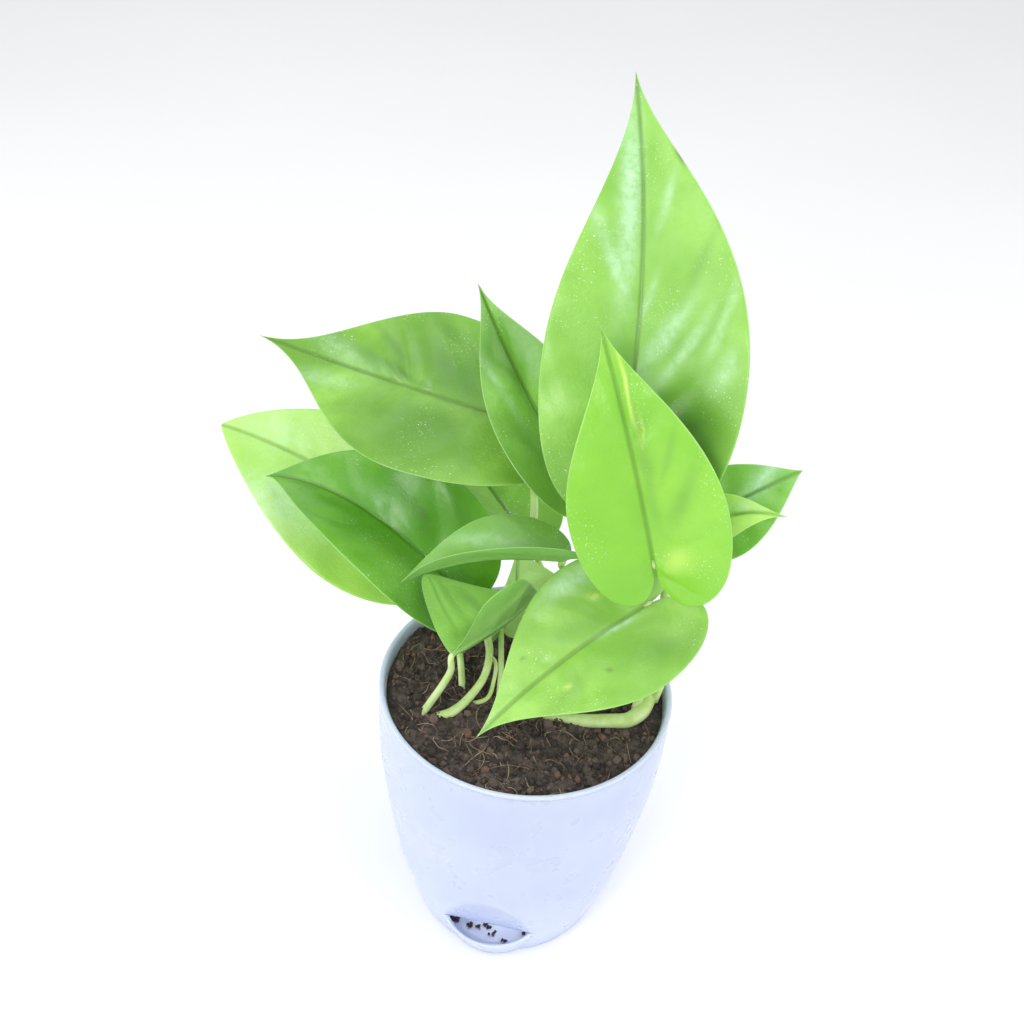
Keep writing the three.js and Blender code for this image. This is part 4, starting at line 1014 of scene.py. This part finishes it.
def leaf_surface(name):
    deep, light = LEAVES[name]["deep"], LEAVES[name]["light"]
    m = Nodes(f"{name}_surface")
    reach, under = m.value("reach"), m.value("under")
    broad = m.ramp(m.noise(26, 3, 0.55), 0.36, 0.66)
    colour = m.mix(broad, deep, light)
    mottle = m.ramp(m.noise(210, 5, 0.7), 0.42, 0.66)
    colour = m.layer(colour, mottle, 0.30, deep)
    # The sheen marks are a painted highlight: pale sheen on glossy raised parts, broken into patches.
    patchy = m.ramp(m.noise(300, 4, 0.7), 0.30, 0.66, 0.45, 1.0)
    # The shade marks are painted shade in hollows and folds and painted shadow cast by other leaves.
    colour = m.mix(m.value("shade"), colour, PAINTED_SHADE)
    colour = m.layer(colour, m.value("bloom"), patchy, PAINTED_SHEEN)
    # Painted shade in the grooves of the side veins.
    colour = m.layer(colour, m.value("vein"), 0.16, deep)
    # A thin line of painted shade along the midrib crease.
    flank = m.ramp(reach, 0.3, 1.5, 0.60, 0.0)
    colour = m.mix(flank, colour, tuple(0.55 * part for part in deep))
    colour = m.mix(m.ramp(m.value("margin"), 0.10, 0.42, 0.35, 0.0), colour, MARGIN_GREEN)
    colour = m.mix(m.value("streak"), colour, YELLOW)
    colour = m.mix(m.value("spot"), colour, BROWN)
    cluster = m.ramp(m.noise(45, 2), 0.50, 0.62)
    dust = m.math("MULTIPLY", m.ramp(m.noise(1500, 2, 0.6), 0.65, 0.71), cluster)
    colour = m.layer(colour, dust, 0.75, DUST)
    colour = m.layer(colour, under, 0.65, DULL)
    rough = m.ramp(m.noise(120, 4, 0.6), 0.3, 0.7, 0.30, 0.44)
    rough = m.math("ADD", rough, m.math("MULTIPLY", under, 0.2))
    height = m.math("ADD", m.noise(380, 4, 0.6), m.math("MULTIPLY", m.noise(1500, 2), 0.35))
    m.set(Subsurface_Weight=0.15, Subsurface_Radius=(0.6, 1.0, 0.1), Subsurface_Scale=0.0012)
    m.set(Coat_Weight=0.25, Coat_Roughness=0.22, Specular_IOR_Level=0.4)
    return m.done(colour, rough, height, 0.0003, 0.8)


def stem_surface():
    m = Nodes("green_stem")
    blotch = m.ramp(m.noise(110, 4, 0.6), 0.36, 0.66)
    colour = m.mix(blotch, (0.46, 0.66, 0.18), (0.64, 0.80, 0.38))
    lines = m.ramp(m.noise(420, 3, 0.7), 0.58, 0.74)
    colour = m.layer(colour, lines, 0.3, (0.72, 0.84, 0.50))
    speck = m.ramp(m.noise(760, 3, 0.6), 0.68, 0.72)
    colour = m.layer(colour, speck, 0.6, (0.24, 0.12, 0.05))
    rough = m.ramp(m.noise(300, 3), 0.3, 0.7, 0.36, 0.55)
    m.set(Subsurface_Weight=0.2, Subsurface_Radius=(0.8, 1.0, 0.4), Subsurface_Scale=0.0015)
    return m.done(colour, rough, m.noise(420, 4, 0.6), 0.0003, 0.5)


def soil_surface():
    m = Nodes("coir_soil")
    patch = m.ramp(m.noise(240, 5, 0.7), 0.35, 0.65)
    colour = m.mix(patch, (0.042, 0.034, 0.030), (0.145, 0.112, 0.095))
    grain = m.ramp(m.noise(1500, 4, 0.7), 0.58, 0.72)
    colour = m.layer(colour, grain, 0.5, (0.16, 0.10, 0.07))
    return m.done(colour, 0.92, m.noise(900, 6, 0.75), 0.0012, 1.0)


def crumb_surface():
    m = Nodes("coir_crumbs")
    tone = m.value("tone")
    colour = m.mix(m.ramp(tone, 0.2, 0.8), (0.044, 0.035, 0.031), (0.155, 0.113, 0.093))
    colour = m.mix(m.ramp(tone, 0.92, 0.97), colour, (0.20, 0.105, 0.065))
    grain = m.ramp(m.noise(1800, 4, 0.7), 0.5, 0.75)
    colour = m.layer(colour, grain, 0.5, (0.17, 0.11, 0.08))
    return m.done(colour, 0.9, m.noise(1400, 5, 0.7), 0.0008, 0.9)


def fibre_surface():
    m = Nodes("coir_fibres")
    colour = m.mix(m.value("tone"), (0.12, 0.07, 0.04), (0.46, 0.34, 0.22))
    streak = m.ramp(m.noise(900, 3), 0.4, 0.7)
    colour = m.layer(colour, streak, 0.4, (0.55, 0.46, 0.34))
    return m.done(colour, 0.8, m.noise(1500, 3), 0.0002, 0.6)


def wick_surface():
    m = Nodes("cotton_wick")
    weave = m.node("ShaderNodeTexWave", dict(Vector=m.place(), Scale=420.0, Distortion=3.0, Detail=2.0),
                   bands_direction="DIAGONAL").outputs["Fac"]
    colour = m.mix(weave, (0.62, 0.56, 0.42), (0.80, 0.76, 0.64))
    return m.done(colour, 0.95, weave, 0.0006, 0.9)


def floor_surface():
    m = Nodes("pale_floor")
    tone = m.ramp(m.noise(3, 2), 0.3, 0.7)
    m.set(Base_Color=m.mix(tone, (0.95, 0.95, 0.95), (0.97, 0.97, 0.97)), Roughness=0.85)
    return m.material


# Stage

def floor():
    mesh = bpy.data.meshes.new("floor")
    signs = ((-1, -1), (1, -1), (1, 1), (-1, 1))
    corners = [(x * FLOOR_REACH, y * FLOOR_REACH, FLOOR_LEVEL) for x, y in signs]
    mesh.from_pydata(corners, [], [(0, 1, 2, 3)])
    mesh.materials.append(floor_surface())
    plane = new_object("floor", mesh)


def area_lamp(name, place, size, power, colour=(1, 1, 1), target=PLANT_MIDDLE):
    lamp = bpy.data.lights.new(name, "AREA")
    lamp.shape = "SQUARE"
    lamp.size = size
    lamp.energy = power
    lamp.color = colour
    holder = new_object(name, lamp)
    holder.location = Vector(place) * MM
    way = (Vector(target) - Vector(place)).normalized()
    holder.rotation_euler = way.to_track_quat("-Z", "Y").to_euler()


def lights():
    world = bpy.data.worlds.new("studio")
    world.use_nodes = True
    backdrop = world.node_tree.nodes["Background"]
    backdrop.inputs["Color"].default_value = STUDIO_COLOUR
    backdrop.inputs["Strength"].default_value = STUDIO_STRENGTH
    bpy.context.scene.world = world
    for name, lamp in LAMPS.items():
        area_lamp(name, **lamp)


def camera():
    data = bpy.data.cameras.new("camera")
    data.lens = CAMERA_LENS
    data.sensor_width = CAMERA_SENSOR
    data.sensor_fit = "HORIZONTAL"
    data.clip_start = 0.01
    holder = new_object("camera", data)
    forward = Vector(CAMERA_FORWARD).normalized()
    right = forward.cross(Vector(CAMERA_UP)).normalized()
    up = right.cross(forward)
    axes = Matrix((right, up, -forward)).transposed()
    holder.matrix_world = Matrix.Translation(Vector(CAMERA_PLACE) * MM) @ axes.to_4x4()
    bpy.context.scene.camera = holder


# Assembly

plastic = plastic_surface()
stem_material = stem_surface()
soil_material = soil_surface()
crumb_material = crumb_surface()
fibre_material = fibre_surface()

outer_pot()
liner()
soil_plug()
soil_crumbs()
spilt_crumbs()
soil_fibres()
stems()
for leaf in LEAVES:
    growth = Shape()
    blade(growth, leaf)
    petiole(growth, leaf)
    growth.piece(f"{leaf}_grown", [leaf_surface(leaf), stem_material], "leaf", [leaf])
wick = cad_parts["wick"]
wick.data.materials.clear()
wick.data.materials.append(wick_surface())
floor()
lights()
camera()
bpy.context.scene.view_settings.view_transform = "Standard"
